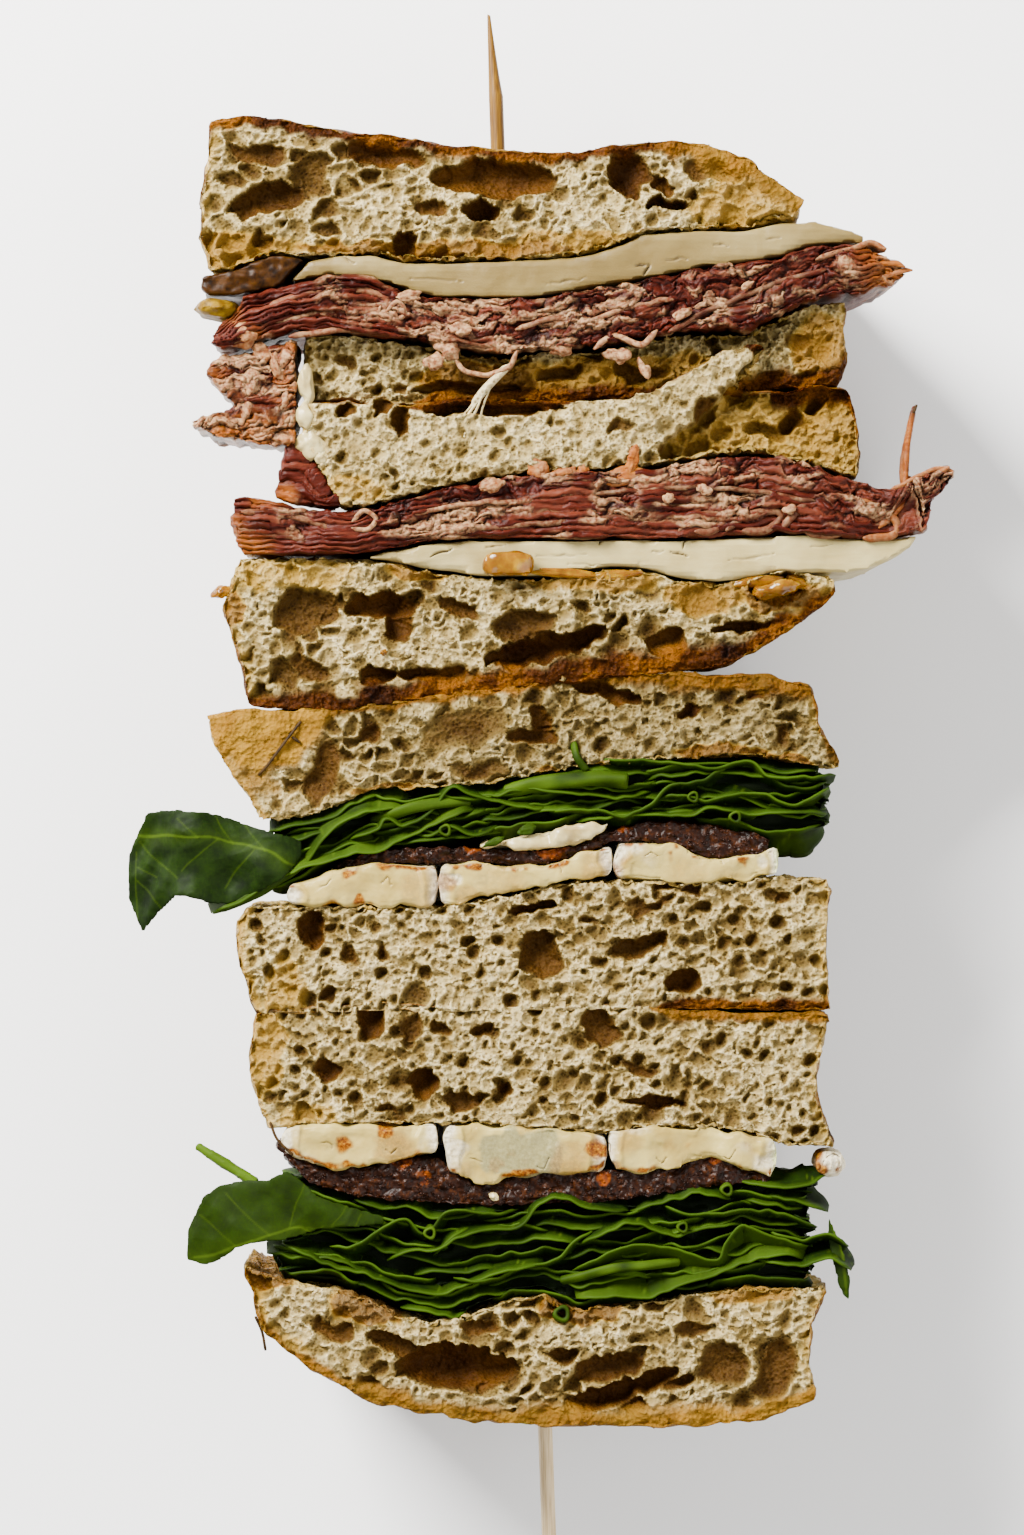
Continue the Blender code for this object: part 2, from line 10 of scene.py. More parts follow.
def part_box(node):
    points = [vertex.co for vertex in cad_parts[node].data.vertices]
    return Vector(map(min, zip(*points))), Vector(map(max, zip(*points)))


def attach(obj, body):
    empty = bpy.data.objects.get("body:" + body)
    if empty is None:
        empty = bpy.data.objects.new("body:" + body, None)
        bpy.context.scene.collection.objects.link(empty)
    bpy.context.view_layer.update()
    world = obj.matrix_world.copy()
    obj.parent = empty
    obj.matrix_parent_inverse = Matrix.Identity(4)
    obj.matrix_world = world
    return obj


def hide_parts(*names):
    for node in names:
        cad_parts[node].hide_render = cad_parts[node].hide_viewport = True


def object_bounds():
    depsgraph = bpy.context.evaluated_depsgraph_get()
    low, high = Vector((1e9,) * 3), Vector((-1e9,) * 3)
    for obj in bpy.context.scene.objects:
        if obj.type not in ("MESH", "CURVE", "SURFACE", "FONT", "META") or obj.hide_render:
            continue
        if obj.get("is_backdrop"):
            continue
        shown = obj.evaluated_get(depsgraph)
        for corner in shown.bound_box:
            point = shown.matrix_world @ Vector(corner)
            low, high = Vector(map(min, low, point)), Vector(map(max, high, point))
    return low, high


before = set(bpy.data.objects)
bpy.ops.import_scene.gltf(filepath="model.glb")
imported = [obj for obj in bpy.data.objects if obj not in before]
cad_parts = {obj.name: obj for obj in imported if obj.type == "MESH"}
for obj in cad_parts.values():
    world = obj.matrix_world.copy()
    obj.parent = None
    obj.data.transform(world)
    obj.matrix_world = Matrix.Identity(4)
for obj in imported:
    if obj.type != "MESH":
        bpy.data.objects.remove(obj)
cad_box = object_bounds()

# The table, the light and the camera. The tower lies on its back, and the camera looks straight down on
# the cut faces, as the photograph looks at them; one of its 1535 rows is 0.19 mm there. The light is one
# big soft window above the tower's left shoulder, with a weak fill from the right.
MM = 0.001
HIGHEST = cad_box[1].z / MM  # the top of the solids
FRAME_HEIGHT = 1535 * 0.19 * MM
CUT_FACE = 57 * MM
CAMERA_X = -5.6 * MM
CAMERA_Y = 5.1 * MM
LENS = 110.0
SENSOR = 36.0
TABLE_HALF = 4  # m

camera = bpy.data.objects.new("camera", bpy.data.cameras.new("camera"))
bpy.context.scene.collection.objects.link(camera)
camera.data.lens = LENS
camera.data.sensor_width = SENSOR
camera.data.clip_end = 20
camera.location = (CAMERA_X, CAMERA_Y, CUT_FACE + FRAME_HEIGHT * LENS / SENSOR)
bpy.context.scene.camera = camera


def soft_light(name, place, aim, width, watts, colour):
    """A square lamp at a place, turned to where it aims, all in metres."""
    light = bpy.data.lights.new(name, "AREA")
    light.shape = "SQUARE"
    light.size = width
    light.energy = watts
    light.color = colour
    obj = bpy.data.objects.new(name, light)
    bpy.context.scene.collection.objects.link(obj)
    obj.location = place
    obj.rotation_euler = (Vector(aim) - Vector(place)).to_track_quat("-Z", "Y").to_euler()


soft_light("window", (-0.55, 0.62, 0.62), (0, 0, 0.04), 0.42, 60, (1.0, 0.975, 0.93))
soft_light("fill", (0.8, -0.3, 0.8), (0, 0, 0.04), 1.2, 17, (1.0, 0.98, 0.95))

world = bpy.data.worlds.new("studio")
bpy.context.scene.world = world
world.use_nodes = True
world.node_tree.nodes["Background"].inputs["Color"].default_value = (1, 0.985, 0.95, 1)
world.node_tree.nodes["Background"].inputs["Strength"].default_value = 0.66

table_mesh = bpy.data.meshes.new("table")
corners = [(x * TABLE_HALF, y * TABLE_HALF, 0) for x, y in ((-1, -1), (1, -1), (1, 1), (-1, 1))]
table_mesh.from_pydata(corners, [], [(0, 1, 2, 3)])
table = bpy.data.objects.new("table", table_mesh)
bpy.context.scene.collection.objects.link(table)
table_top = bpy.data.materials.new("table_top")
table_top.use_nodes = True
table_top.node_tree.nodes["Principled BSDF"].inputs["Base Color"].default_value = (0.95, 0.955, 0.97, 1)
table_top.node_tree.nodes["Principled BSDF"].inputs["Roughness"].default_value = 0.8
table.data.materials.append(table_top)
table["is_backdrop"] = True

# The breads: cut ciabatta, an open crumb with thin shiny walls round bubbles of every size, under a
# floury brown crust. Each is its solid rebuilt in small even faces; the bubbles that the knife or the
# hand opened are then sunk into the side that faces up, and the crust is wrinkled and cragged.
BREAD_FACE = 1.15  # mm, edge of a face on the crust; a quarter of it on the cut side
CRAG = 0.5  # mm
CRUMB_SWELL = (0.55, 0.35, 0.15)  # mm, the torn face's rise and fall: broad, middling and fine

# The bubbles that stand out on each cut face, in mm: x, y, half width, half height, depth, tilt in
# degrees, and how brown and shaded the skin inside is: its own tint and painted shade
BUBBLES = {
    "bread_1_top": (
        (-54.1, 121.9, 5.9, 1.7, 3, -5, 0.45), (-53.3, 105.7, 1.9, 1.9, 4, 30, 0.8),
        (-52, 113.1, 6.8, 2.9, 5, 12, 0.6), (-30.1, 121.5, 7.2, 2.3, 4.5, -5, 0.9),
        (-25.9, 104.6, 2.3, 2.7, 5, 20, 0.85), (-21.2, 111.8, 3.4, 1.3, 3, -8, 0.5),
        (-19.1, 102.9, 2.3, 1.5, 3, 10, 0.6), (-11.7, 111.4, 3.4, 1.7, 6, 0, 0.85),
        (-8.8, 117.1, 12, 3.2, 6, -2, 0.9), (16.1, 117.7, 4, 3.8, 5, -20, 0.8),
        (22.7, 116, 3, 1.7, 4, -25, 0.7), (24.2, 112.4, 4.2, 0.9, 5, 5, 0.85),
        (32.6, 118.7, 5.1, 2.3, 3, -5, 0.35),
    ),
    "bread_1_bottom": (
        (-42.5, 79.1, 1.5, 0.9, 2, 0, 0.35), (-37.3, 82.6, 1.7, 1.1, 2, 0, 0.35),
        (-26.9, 77.8, 1.5, 0.9, 2, 0, 0.4), (-12.1, 76.9, 11.8, 1.5, 5, 0, 0.75),
        (-4.1, 82.6, 2.7, 0.9, 3, 0, 0.6), (3.5, 80.3, 4.2, 1.5, 4, 0, 0.8),
        (9.2, 84.1, 2.3, 0.9, 3, 0, 0.7), (18.7, 80.3, 4.9, 1.7, 4, -5, 0.8),
        (30.1, 78.8, 4.2, 1.5, 4, 0, 0.75), (44.4, 79.7, 2.3, 1.3, 4, 0, 0.8),
        (49.1, 86.4, 2.7, 1.5, 2.5, 20, 0.45), (50.1, 78.8, 2.7, 1.7, 4, 0, 0.9),
    ),
    "bread_2_top": (
        (-37.1, 72.9, 2.1, 1.7, 4, 0, 0.7), (-30.5, 73.6, 2.1, 1.7, 4, 0, 0.7),
        (-26.7, 71, 1.7, 2.1, 4, 0, 0.65), (-9.6, 73.6, 13.3, 1.3, 6, 0, 0.95),
        (14.9, 69.6, 2.3, 1.1, 2, 20, 0.4), (24.4, 65.1, 1.9, 1.3, 2.5, 0, 0.4),
        (30.1, 66.4, 2.1, 1.5, 2.5, 0, 0.4), (31.1, 73.1, 2.3, 1.9, 3, 0, 0.5),
        (33.9, 68.9, 2.3, 1.5, 3, 0, 0.4), (37.7, 75.9, 2.3, 1.1, 3, 0, 0.7),
        (43, 69.1, 4.2, 1.5, 4, -8, 0.6), (47.8, 71, 2.7, 1.9, 5, 10, 0.85),
        (52.2, 74.6, 1.7, 2.1, 5, 0, 0.9),
    ),
    "bread_2_bottom": (
        (-45.3, 34.9, 6.1, 3.8, 4, 12, 0.2), (-43.8, 23.5, 4.6, 2.1, 3, -22, 0.35),
        (-31.4, 22.7, 3.6, 1.5, 5, 0, 0.9), (-29.9, 35.8, 6.8, 2.3, 6.5, -6, 0.95),
        (-27.3, 32, 3, 2.7, 5, 0, 0.75), (-20.6, 22.7, 7.2, 1.3, 5, 2, 0.9),
        (-15.5, 34.9, 4.2, 1.3, 3.5, -20, 0.5), (-3.5, 32, 6.5, 3.2, 3.5, 10, 0.3),
        (0.7, 27.8, 11.8, 2.1, 7, 14, 0.9), (23.8, 28.8, 3.6, 2.5, 5, 0, 0.75),
        (29.7, 37, 3.4, 3.2, 2.5, 0, 0.35), (39.6, 32, 6.8, 0.9, 4.5, 8, 0.7),
        (44.6, 40, 5.9, 2.1, 5, 12, 0.4),
    ),
    "bread_3_top": (
        (-41.7, 4.3, 3.2, 5.7, 3, -20, 0.35), (-33, 12.1, 1.7, 1.7, 3, 0, 0.45),
        (-27.8, 18, 2.3, 1.1, 2, 20, 0.4), (-14.9, 12.3, 9.5, 3.4, 2, 14, 0.12),
        (-11.7, 4.7, 5.7, 1.5, 2, 5, 0.2), (-7.9, 19.9, 2.7, 0.9, 2, 10, 0.45),
        (-1.4, 10.7, 4.9, 1.3, 3.5, -8, 0.55), (-0.5, 14.2, 1.9, 2.5, 3.5, 0, 0.55),
        (-0.1, 12.4, 1.7, 1.1, 4, 0, 0.7), (11.1, 19.9, 7.6, 1.7, 5, -20, 0.9),
        (28.4, 15.7, 2.5, 0.8, 3, 5, 0.75), (41.1, 19.1, 2.1, 1.1, 3, 20, 0.7),
        (46.3, 11.3, 1.1, 2.7, 2, 0, 0.3),
    ),
    "bread_3_bottom": (
        (-43.4, -25.7, 2.1, 2.9, 5, 15, 0.85), (-41.1, -38.1, 1.7, 1.3, 3, 0, 0.4),
        (-36.4, -30.9, 1.9, 1.7, 2.5, 0, 0.35), (-29.7, -30.5, 1.5, 1.5, 2.5, 0, 0.35),
        (-1.2, -21.6, 4.2, 0.9, 5, 8, 0.95), (-0.1, -30.5, 4, 3.8, 5, 0, 0.5),
        (9.2, -23.8, 1.7, 0.9, 2, 0, 0.4), (18.7, -28.6, 6.3, 2.1, 4, 20, 0.4),
        (20.6, -21, 4.8, 1.1, 2.5, 12, 0.35), (22.9, -17.4, 2.3, 0.9, 2.5, 0, 0.4),
        (27.6, -35.4, 3.6, 1.9, 4.5, 10, 0.85), (28.2, -18.3, 2.3, 0.8, 2.5, 0, 0.5),
        (46.1, -20, 1.7, 1.1, 2.5, 0, 0.35),
    ),
    "bread_4_top": (
        (-45.5, -60.9, 2.3, 1.5, 3, 0, 0.5), (-40.9, -52.9, 2.5, 2.3, 4, 40, 0.8),
        (-32, -43.2, 3, 2.7, 5, 0, 0.8), (-28.8, -59.9, 2.3, 0.9, 2.5, 0, 0.45),
        (-24.8, -44.9, 2.3, 2.1, 3, 0, 0.35), (-22.1, -55.2, 2.9, 2.7, 5, 0, 0.9),
        (-19.1, -44.7, 1.9, 1.7, 3, 0, 0.45), (-14.5, -58, 3.8, 1.5, 3.5, 5, 0.45),
        (-11.7, -44.7, 1.7, 1.3, 3, 0, 0.45), (-6.9, -56.5, 1.7, 1.5, 4, 0, 0.7),
        (11.1, -44.7, 3.8, 2.5, 4, -40, 0.5), (18.7, -52, 4.2, 0.8, 2.5, -6, 0.45),
        (21.9, -58.6, 5.9, 0.9, 4, -4, 0.85),
    ),
    "bread_4_bottom": (
        (-40.2, -101.7, 4.2, 1.5, 3, -20, 0.4), (-32.6, -112.2, 3, 1.5, 3, -20, 0.3),
        (-27.8, -104.6, 5.7, 1.5, 4, -15, 0.55), (-16.2, -109.2, 11.4, 4, 8, -4, 0.95),
        (-11.7, -101.7, 3.8, 1.3, 3, 0, 0.5), (3.5, -106.9, 3.4, 1.3, 4, 0, 0.5),
        (13.4, -108.6, 6.8, 2.1, 4, 12, 0.6), (14.9, -113.5, 11, 2.3, 6, 18, 0.9),
        (17.4, -116.6, 2.3, 1.1, 4, 0, 0.8), (26.3, -112.2, 3.8, 1.1, 3.5, 20, 0.6),
        (28.2, -101.7, 3.8, 1.3, 2.5, 5, 0.35), (34.3, -108.4, 4.6, 4.2, 3, -15, 0.3),
        (44.4, -109.9, 3.8, 6.5, 3, -25, 0.35),
    ),
}

# How thick the browned edge is on the cut face, as (x, mm) along it
BROWNED_EDGES = {
    "bread_1_top": ((-65, 3.6), (-50, 3.0), (-30, 3.2), (-8, 2.6), (10, 2.6), (25, 4.2), (45, 6.0)),
    "bread_1_bottom": ((-45, 0.0), (-25, 0.0), (-20, 3.0), (36, 3.0), (42, 4.5), (60, 5.0)),
    "bread_2_top": ((-45, 0.0), (-28, 0.0), (-22, 1.6), (0, 1.2), (8, 0.0), (38, 0.0), (43, 4.5), (61, 3.5)),
    "bread_2_bottom": ((-62, 0.6), (-54, 2.0), (-48, 4.2), (0, 4.4), (30, 5.0), (44, 5.5), (56, 2.5)),
    "bread_3_top": ((-64, 24.0), (-54, 24.0), (-50, 18.0), (-46, 13.0), (-42, 7.0), (-38, 1.4), (0, 1.6),
                    (20, 3.0), (40, 4.2), (57, 4.6)),
    "bread_3_bottom": ((-58, 1.2), (-52, 0.0), (20, 0.0), (26, 2.6), (55, 3.0)),
    "bread_4_top": ((-56, 1.2), (-52, 0.0), (20, 0.0), (26, 3.0), (48, 2.6), (56, 1.0)),
    "bread_4_bottom": ((-58, 2.2), (-45, 2.6), (-30, 3.6), (0, 4.2), (30, 4.2), (45, 3.6), (56, 3.4)),
}

# Where oil, jam or juice has soaked in, and on bread_1_bottom also painted shade where it lies back:
# x, y, half width, half height and how brown it is
SOAKED = {
    "bread_1_top": ((-57, 103.5, 11, 4.5, 0.35), (-20, 103.5, 32, 2.2, 0.5), (6, 105, 14, 2.5, 0.3),
                    (40, 111.5, 13, 6, 0.25), (42, 119, 12, 8, 0.3)),
    "bread_1_bottom": ((-12, 79, 14, 4, 0.55), (14, 78.5, 30, 5.5, 0.35), (54, 84, 7, 9, 0.4),
                       (20, 80, 24, 5, 0.35)),
    "bread_2_top": ((54, 70, 8, 7, 0.3), (-36, 58, 8, 3, 0.2)),
    "bread_2_bottom": ((-47, 42.5, 14, 4.5, 0.1), (-60, 36, 4, 5, 0.5), (-22, 43, 8, 2.5, 0.45),
                       (10, 41, 14, 3, 0.35), (31, 38, 9, 4.5, 0.35), (45, 38, 9, 4, 0.6),
                       (52, 36, 6, 5, 0.2)),
    "bread_3_top": ((10, 3.5, 12, 2.0, 0.85), (34, 7.5, 10, 2.2, 0.7), (46, 6, 6, 2, 0.7),
                    (-30, 1, 8, 1.2, 0.6)),
    "bread_3_bottom": ((-49, -38, 5, 8, 0.2), (-28, -19, 12, 3, 0.15), (38, -42, 13, 2.2, 0.8)),
    "bread_4_top": ((-52, -48, 4, 9, 0.25), (36, -41, 13, 2.0, 0.8), (-44, -62, 6, 3, 0.15)),
    "bread_4_bottom": ((-51, -90, 7, 5, 0.75), (-33, -97.5, 8, 4, 0.8), (8, -97.5, 9, 4, 0.75),
                       (40, -95, 10, 2.5, 0.4), (-50, -108, 6, 6, 0.15)),
}

# Right of this line the crumb is torn away behind a pale flap: its heights and the x at each, in mm
TORN_BACK = {"bread_2_top": ((56, 61.7, 64.5, 67.4, 74.0, 80.3, 86.0),
                             (40, 26.0, 22.4, 24.8, 32.4, 37.7, 42.5))}

# Where the crumb is in painted shade, as (x, share) along it
DULL = {
    "bread_1_bottom": ((-24, 0.0), (-12, 0.7), (44, 0.75), (52, 0.2)),
    "bread_2_top": ((20, 0.0), (30, 0.2)),
    "bread_2_bottom": ((-60, 0.0), (-20, 0.1), (0, 0.35), (60, 0.2)),
    "bread_3_top": ((-48, 0.0), (-38, 0.4), (-5, 0.6), (8, 0.95), (57, 0.9)),
}

# Breads that are pressed against the next one, and how far up their crumb has spread there in mm
PRESSED = {"bread_2_bottom": -0.9, "bread_3_top": 0.85, "bread_3_bottom": -0.8, "bread_4_top": 0.8}

# Where the crust at the rim is golden and floury, as (x, share) along it
GOLDEN = {
    "bread_1_top": ((20, 0.0), (34, 0.6), (50, 0.7)),
    "bread_3_top": ((-64, 0.95), (-44, 0.8), (-38, 0.2)),
    "bread_4_top": ((-56, 0.8), (-50, 0.3)),
    "bread_4_bottom": ((-58, 0.3), (-20, 0.5), (56, 0.75)),
}
NOWHERE = ((0, 0.0), (1, 0.0))

# Which way the crust of each half faces, and how large the bubbles are, 1 for a middling crumb
CRUSTY_SIDE = {"top": 1, "bottom": -1}
OPEN_CRUMB = {"bread_1_top": 1.35, "bread_1_bottom": 0.75, "bread_2_top": 0.7, "bread_2_bottom": 1.45,
              "bread_3_top": 1.1, "bread_3_bottom": 0.95, "bread_4_top": 0.95, "bread_4_bottom": 1.25}

# The bubbles that the solids have too are filled and sunk in again: those over so many square mm that lie
# so far inside the rim, filled a little wider and down to so deep under the cut
FILLED_FROM = 3
FILLED_INSIDE = 2.2
FILLED_WIDER = (1.12, 1.15)
FILLED_DEEP = 12
CUT_HEIGHT = 57.3
LOW_CUT_HEIGHT = {"bread_1_bottom": 53.6}  # this one is torn away behind the flap in front of it
OILY_LEFT_ENDS = ("bread_3", "bread_4")  # their left ends are yellower with oil


def chance(cells, seed):
    """An even random value from 0 to 1 for each whole-numbered cell, always the same for the same seed."""
    key = (cells * np.array([73856093, 19349663, 83492791])[:cells.shape[1]]).sum(axis=1) + 7919 * seed
    for turn in (2246822519, 3266489917):
        key = ((key ^ (key >> 15)) * turn) & 0xFFFFFFFF
    return ((key ^ (key >> 16)) & 0xFFFF) / 65535


def noise(points, size, seed=0):
    """Smooth random values from -1 to 1 that change over about size."""
    scaled = points / size + 31.7
    cell = np.floor(scaled).astype(np.int64)
    part = scaled - cell
    part = part * part * (3 - 2 * part)
    total = np.zeros(len(points))
    for corner in itertools.product((0, 1), repeat=points.shape[1]):
        share = np.prod(np.where(corner, part, 1 - part), axis=1)
        total += share * (2 * chance(cell + corner, seed) - 1)
    return total


def rise(values, low, high):
    """0 below low and 1 above high, with a soft step between."""
    step = np.clip((values - low) / (high - low), 0, 1)
    return step * step * (3 - 2 * step)


def wobble(points, size, seed, apart=1):
    """Smooth random shifts to the right and up, each from -1 to 1."""
    return np.stack([noise(points, size, seed), noise(points, size, seed + apart)], axis=1)


def along_and_across(dx, dy, angle):
    """The same offsets, measured along and across a direction."""
    return dx * np.cos(angle) + dy * np.sin(angle), dy * np.cos(angle) - dx * np.sin(angle)


def cut_bubbles(places, size, share, seed):
    """How deep round bubbles, about one in each square of this size, are cut open at these places."""
    depth = np.zeros(len(places))
    square = np.floor(places / size).astype(np.int64)
    for step in itertools.product((-1, 0, 1), repeat=2):
        cell = square + step
        right, up, grown, kept, turned = (chance(cell, seed + n) for n in range(5))
        radius = size * (0.16 + 0.36 * grown ** 1.6)
        dx = places[:, 0] - (cell[:, 0] + 0.1 + 0.8 * right) * size
        dy = places[:, 1] - (cell[:, 1] + 0.1 + 0.8 * up) * size
        along, across = along_and_across(dx, dy, 2.4 * (turned - 0.5))
        across = across / (radius * (0.5 + 0.4 * grown))
        inside = np.clip(1 - (along / radius) ** 2 - across ** 2, 0, 1) * (kept < share)
        depth = np.maximum(depth, radius * np.sqrt(inside))
    return depth


def foam(places, size, seed):
    """(how deep, how near a wall, the cell's own value) in a froth of cells about this size."""
    first, second = np.full(len(places), 9.0), np.full(len(places), 9.0)
    deep = np.zeros(len(places))
    scaled = places / size
    square = np.floor(scaled).astype(np.int64)
    for step in itertools.product((-1, 0, 1), repeat=2):
        cell = square + step
        right, up, weight = (chance(cell, seed + n) for n in range(3))
        dx = scaled[:, 0] - cell[:, 0] - 0.1 - 0.8 * right
        dy = scaled[:, 1] - cell[:, 1] - 0.1 - 0.8 * up
        away = np.hypot(dx, dy) * (1.25 - 0.5 * weight)
        nearer = away < first
        second = np.where(nearer, first, np.minimum(second, away))
        deep = np.where(nearer, weight, deep)
        first = np.where(nearer, away, first)
    wall = rise(first - second, -0.34, -0.06)
    rounded = np.clip(1 - (first / 0.66) ** 2, 0, 1) ** 0.4
    return size * (0.2 + 0.6 * deep) * np.sqrt(1 - wall) * rounded, wall, deep


def solid_copy(node):
    """A CAD solid as a joined mesh of its own."""
    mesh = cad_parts[node].data.copy()
    mesh.materials.clear()
    joined = bmesh.new()
    joined.from_mesh(mesh)
    bmesh.ops.remove_doubles(joined, verts=joined.verts, dist=1e-7)
    return mesh, joined


CUT_ZONE = 14  # mm below a piece's top, where the faces that face up are the finest


def rebuilt(name, node, face, cuts, plugs=()):
    """The node's solid with even faces this many mm across, each cut further on the side that faces up.

    plugs fill the hollows of the solid that are sunk in again, finer, afterwards.
    """
    mesh, joined = solid_copy(node)
    for x, y, wide, high, tilt, floor, lid in plugs:
        place = (Matrix.Translation(Vector((x, y, (floor + lid) / 2)) * MM)
                 @ Matrix.Rotation(math.radians(tilt), 4, "Z")
                 @ Matrix.Diagonal((wide * MM, high * MM, (lid - floor) * MM, 1)))
        bmesh.ops.create_cone(joined, cap_ends=True, segments=20, radius1=1, radius2=1, depth=1, matrix=place)
    joined.to_mesh(mesh)
    joined.free()
    piece = bpy.data.objects.new(name, mesh)
    bpy.context.scene.collection.objects.link(piece)
    remesh = piece.modifiers.new("even_faces", "REMESH")
    remesh.mode = "VOXEL"
    remesh.voxel_size = face * MM
    even = bpy.data.meshes.new_from_object(piece.evaluated_get(bpy.context.evaluated_depsgraph_get()))
    piece.modifiers.clear()
    piece.data = even
    bpy.data.meshes.remove(mesh)
    if cuts:
        finer = bmesh.new()
        finer.from_mesh(even)
        cut_zone = max(v.co.z for v in finer.verts) - CUT_ZONE * MM
        facing_up = [f for f in finer.faces if f.normal.z > 0.3 and f.calc_center_median().z > cut_zone]
        edges = list({edge for f in facing_up for edge in f.edges})
        bmesh.ops.subdivide_edges(finer, edges=edges, cuts=cuts, use_grid_fill=True)
        finer.to_mesh(even)
        finer.free()
    return piece


def places_of(piece):
    """(places, outward directions) of a piece's points, in mm."""
    mesh = piece.data
    places = np.empty(len(mesh.vertices) * 3)
    mesh.vertices.foreach_get("co", places)
    outward = np.empty(len(mesh.vertices) * 3, np.float32)
    mesh.vertex_normals.foreach_get("vector", outward)
    return places.reshape(-1, 3) / MM, outward.reshape(-1, 3).astype(float)


def cut_side(places, outward, tilt, deep, near):
    """1 on the side of a piece that faces up, fading out between near and deep mm below its top."""
    top = places[:, 2].max()
    return rise(outward[:, 2], tilt, tilt + 0.5) * rise(places[:, 2], top - deep, top - near)


def across_face(places, steps):
    """The value at each place, from (x, value) steps across the face."""
    return np.interp(places[:, 0], *np.array(steps).T)


def move_to(piece, places):
    piece.data.vertices.foreach_set("co", (places * MM).ravel())
    piece.data.shade_smooth()
    piece.data.update()


def mark(piece, name, values):
    """Stores one value for each point, for the material to read."""
    layer = piece.data.attributes.new(name, "FLOAT", "POINT")
    layer.data.foreach_set("value", np.ascontiguousarray(values, np.float32))


def outline(places, front, axis, reach):
    """The lowest and highest value along the other axis of the cut face, at each point's own place."""
    other = 1 - axis
    bins = np.floor((places[:, axis] - places[:, axis].min()) / reach).astype(int)
    count = bins.max() + 1
    low, high = np.full(count, np.inf), np.full(count, -np.inf)
    np.minimum.at(low, bins[front], places[front, other])
    np.maximum.at(high, bins[front], places[front, other])
    filled = np.isfinite(low)
    middles = places[:, axis].min() + (np.arange(count) + 0.5) * reach
    at = places[:, axis]
    return (np.interp(at, middles[filled], low[filled]), np.interp(at, middles[filled], high[filled]))


def nodes_of(material):
    """A short way to add a node to a material and wire it up."""
    tree = material.node_tree

    def add(kind, inputs=(), **settings):
        node = tree.nodes.new("ShaderNode" + kind)
        for key, value in settings.items():
            setattr(node, key, value)
        for key, value in dict(inputs).items():
            if isinstance(value, bpy.types.NodeSocket):
                tree.links.new(value, node.inputs[key])
            else:
                node.inputs[key].default_value = value
        return node

    return add


def new_material(name):
    material = bpy.data.materials.new(name)
    material.use_nodes = True
    return material, material.node_tree.nodes["Principled BSDF"], nodes_of(material)


def marked(add, name):
    """A value that is stored for each point of the piece."""
    return add("Attribute", attribute_name=name).outputs["Fac"]


def tones(add, where, scale, detail, roughness=0.5):
    """Soft random tones from 0 to 1, about this many to a metre, with finer ones in them."""
    inputs = {"Vector": where, "Scale": scale, "Detail": detail, "Roughness": roughness}
    return add("TexNoise", inputs).outputs["Fac"]


def let_light_in(shader, share, reach, deep, shine):
    """Lets light into a soft food, for its share and about deep mm, and sets how much its skin shines."""
    shader.inputs["Subsurface Weight"].default_value = share
    shader.inputs["Subsurface Radius"].default_value = reach
    shader.inputs["Subsurface Scale"].default_value = deep * MM
    shader.inputs["Specular IOR Level"].default_value = shine


def ramp(add, value, *stops):
    """A colour that follows a value from stop to stop."""
    node = add("ValToRGB", {"Fac": value})
    elements = node.color_ramp.elements
    while len(elements) < len(stops):
        elements.new(1.0)
    for element, (position, colour) in zip(elements, stops):
        element.position = position
        element.color = (*colour, 1)
    return node.outputs["Color"]


def blend_colours(add, share, first, second, kind="MIX"):
    node = add("Mix", data_type="RGBA", blend_type=kind)
    tree = node.id_data
    for key, value in (("Factor", share), ("A", first), ("B", second)):
        socket = next(s for s in node.inputs if s.name == key and s.enabled)
        if isinstance(value, bpy.types.NodeSocket):
            tree.links.new(value, socket)
        elif isinstance(value, tuple):
            socket.default_value = (*value, 1)
        else:
            socket.default_value = value
    return next(s for s in node.outputs if s.enabled)


def finish(material, shader, add, colour, roughness, bumps):
    """Wires colour and roughness up, with one bump after another: (height, strength, depth in mm)."""
    links = material.node_tree.links
    links.new(colour, shader.inputs["Base Color"])
    if isinstance(roughness, bpy.types.NodeSocket):
        links.new(roughness, shader.inputs["Roughness"])
    else:
        shader.inputs["Roughness"].default_value = roughness
    normal = None
    for height, strength, deep in bumps:
        bump = add("Bump", {"Height": height, "Strength": strength, "Distance": deep * MM})
        if normal:
            links.new(normal, bump.inputs["Normal"])
        normal = bump.outputs["Normal"]
    links.new(normal, shader.inputs["Normal"])


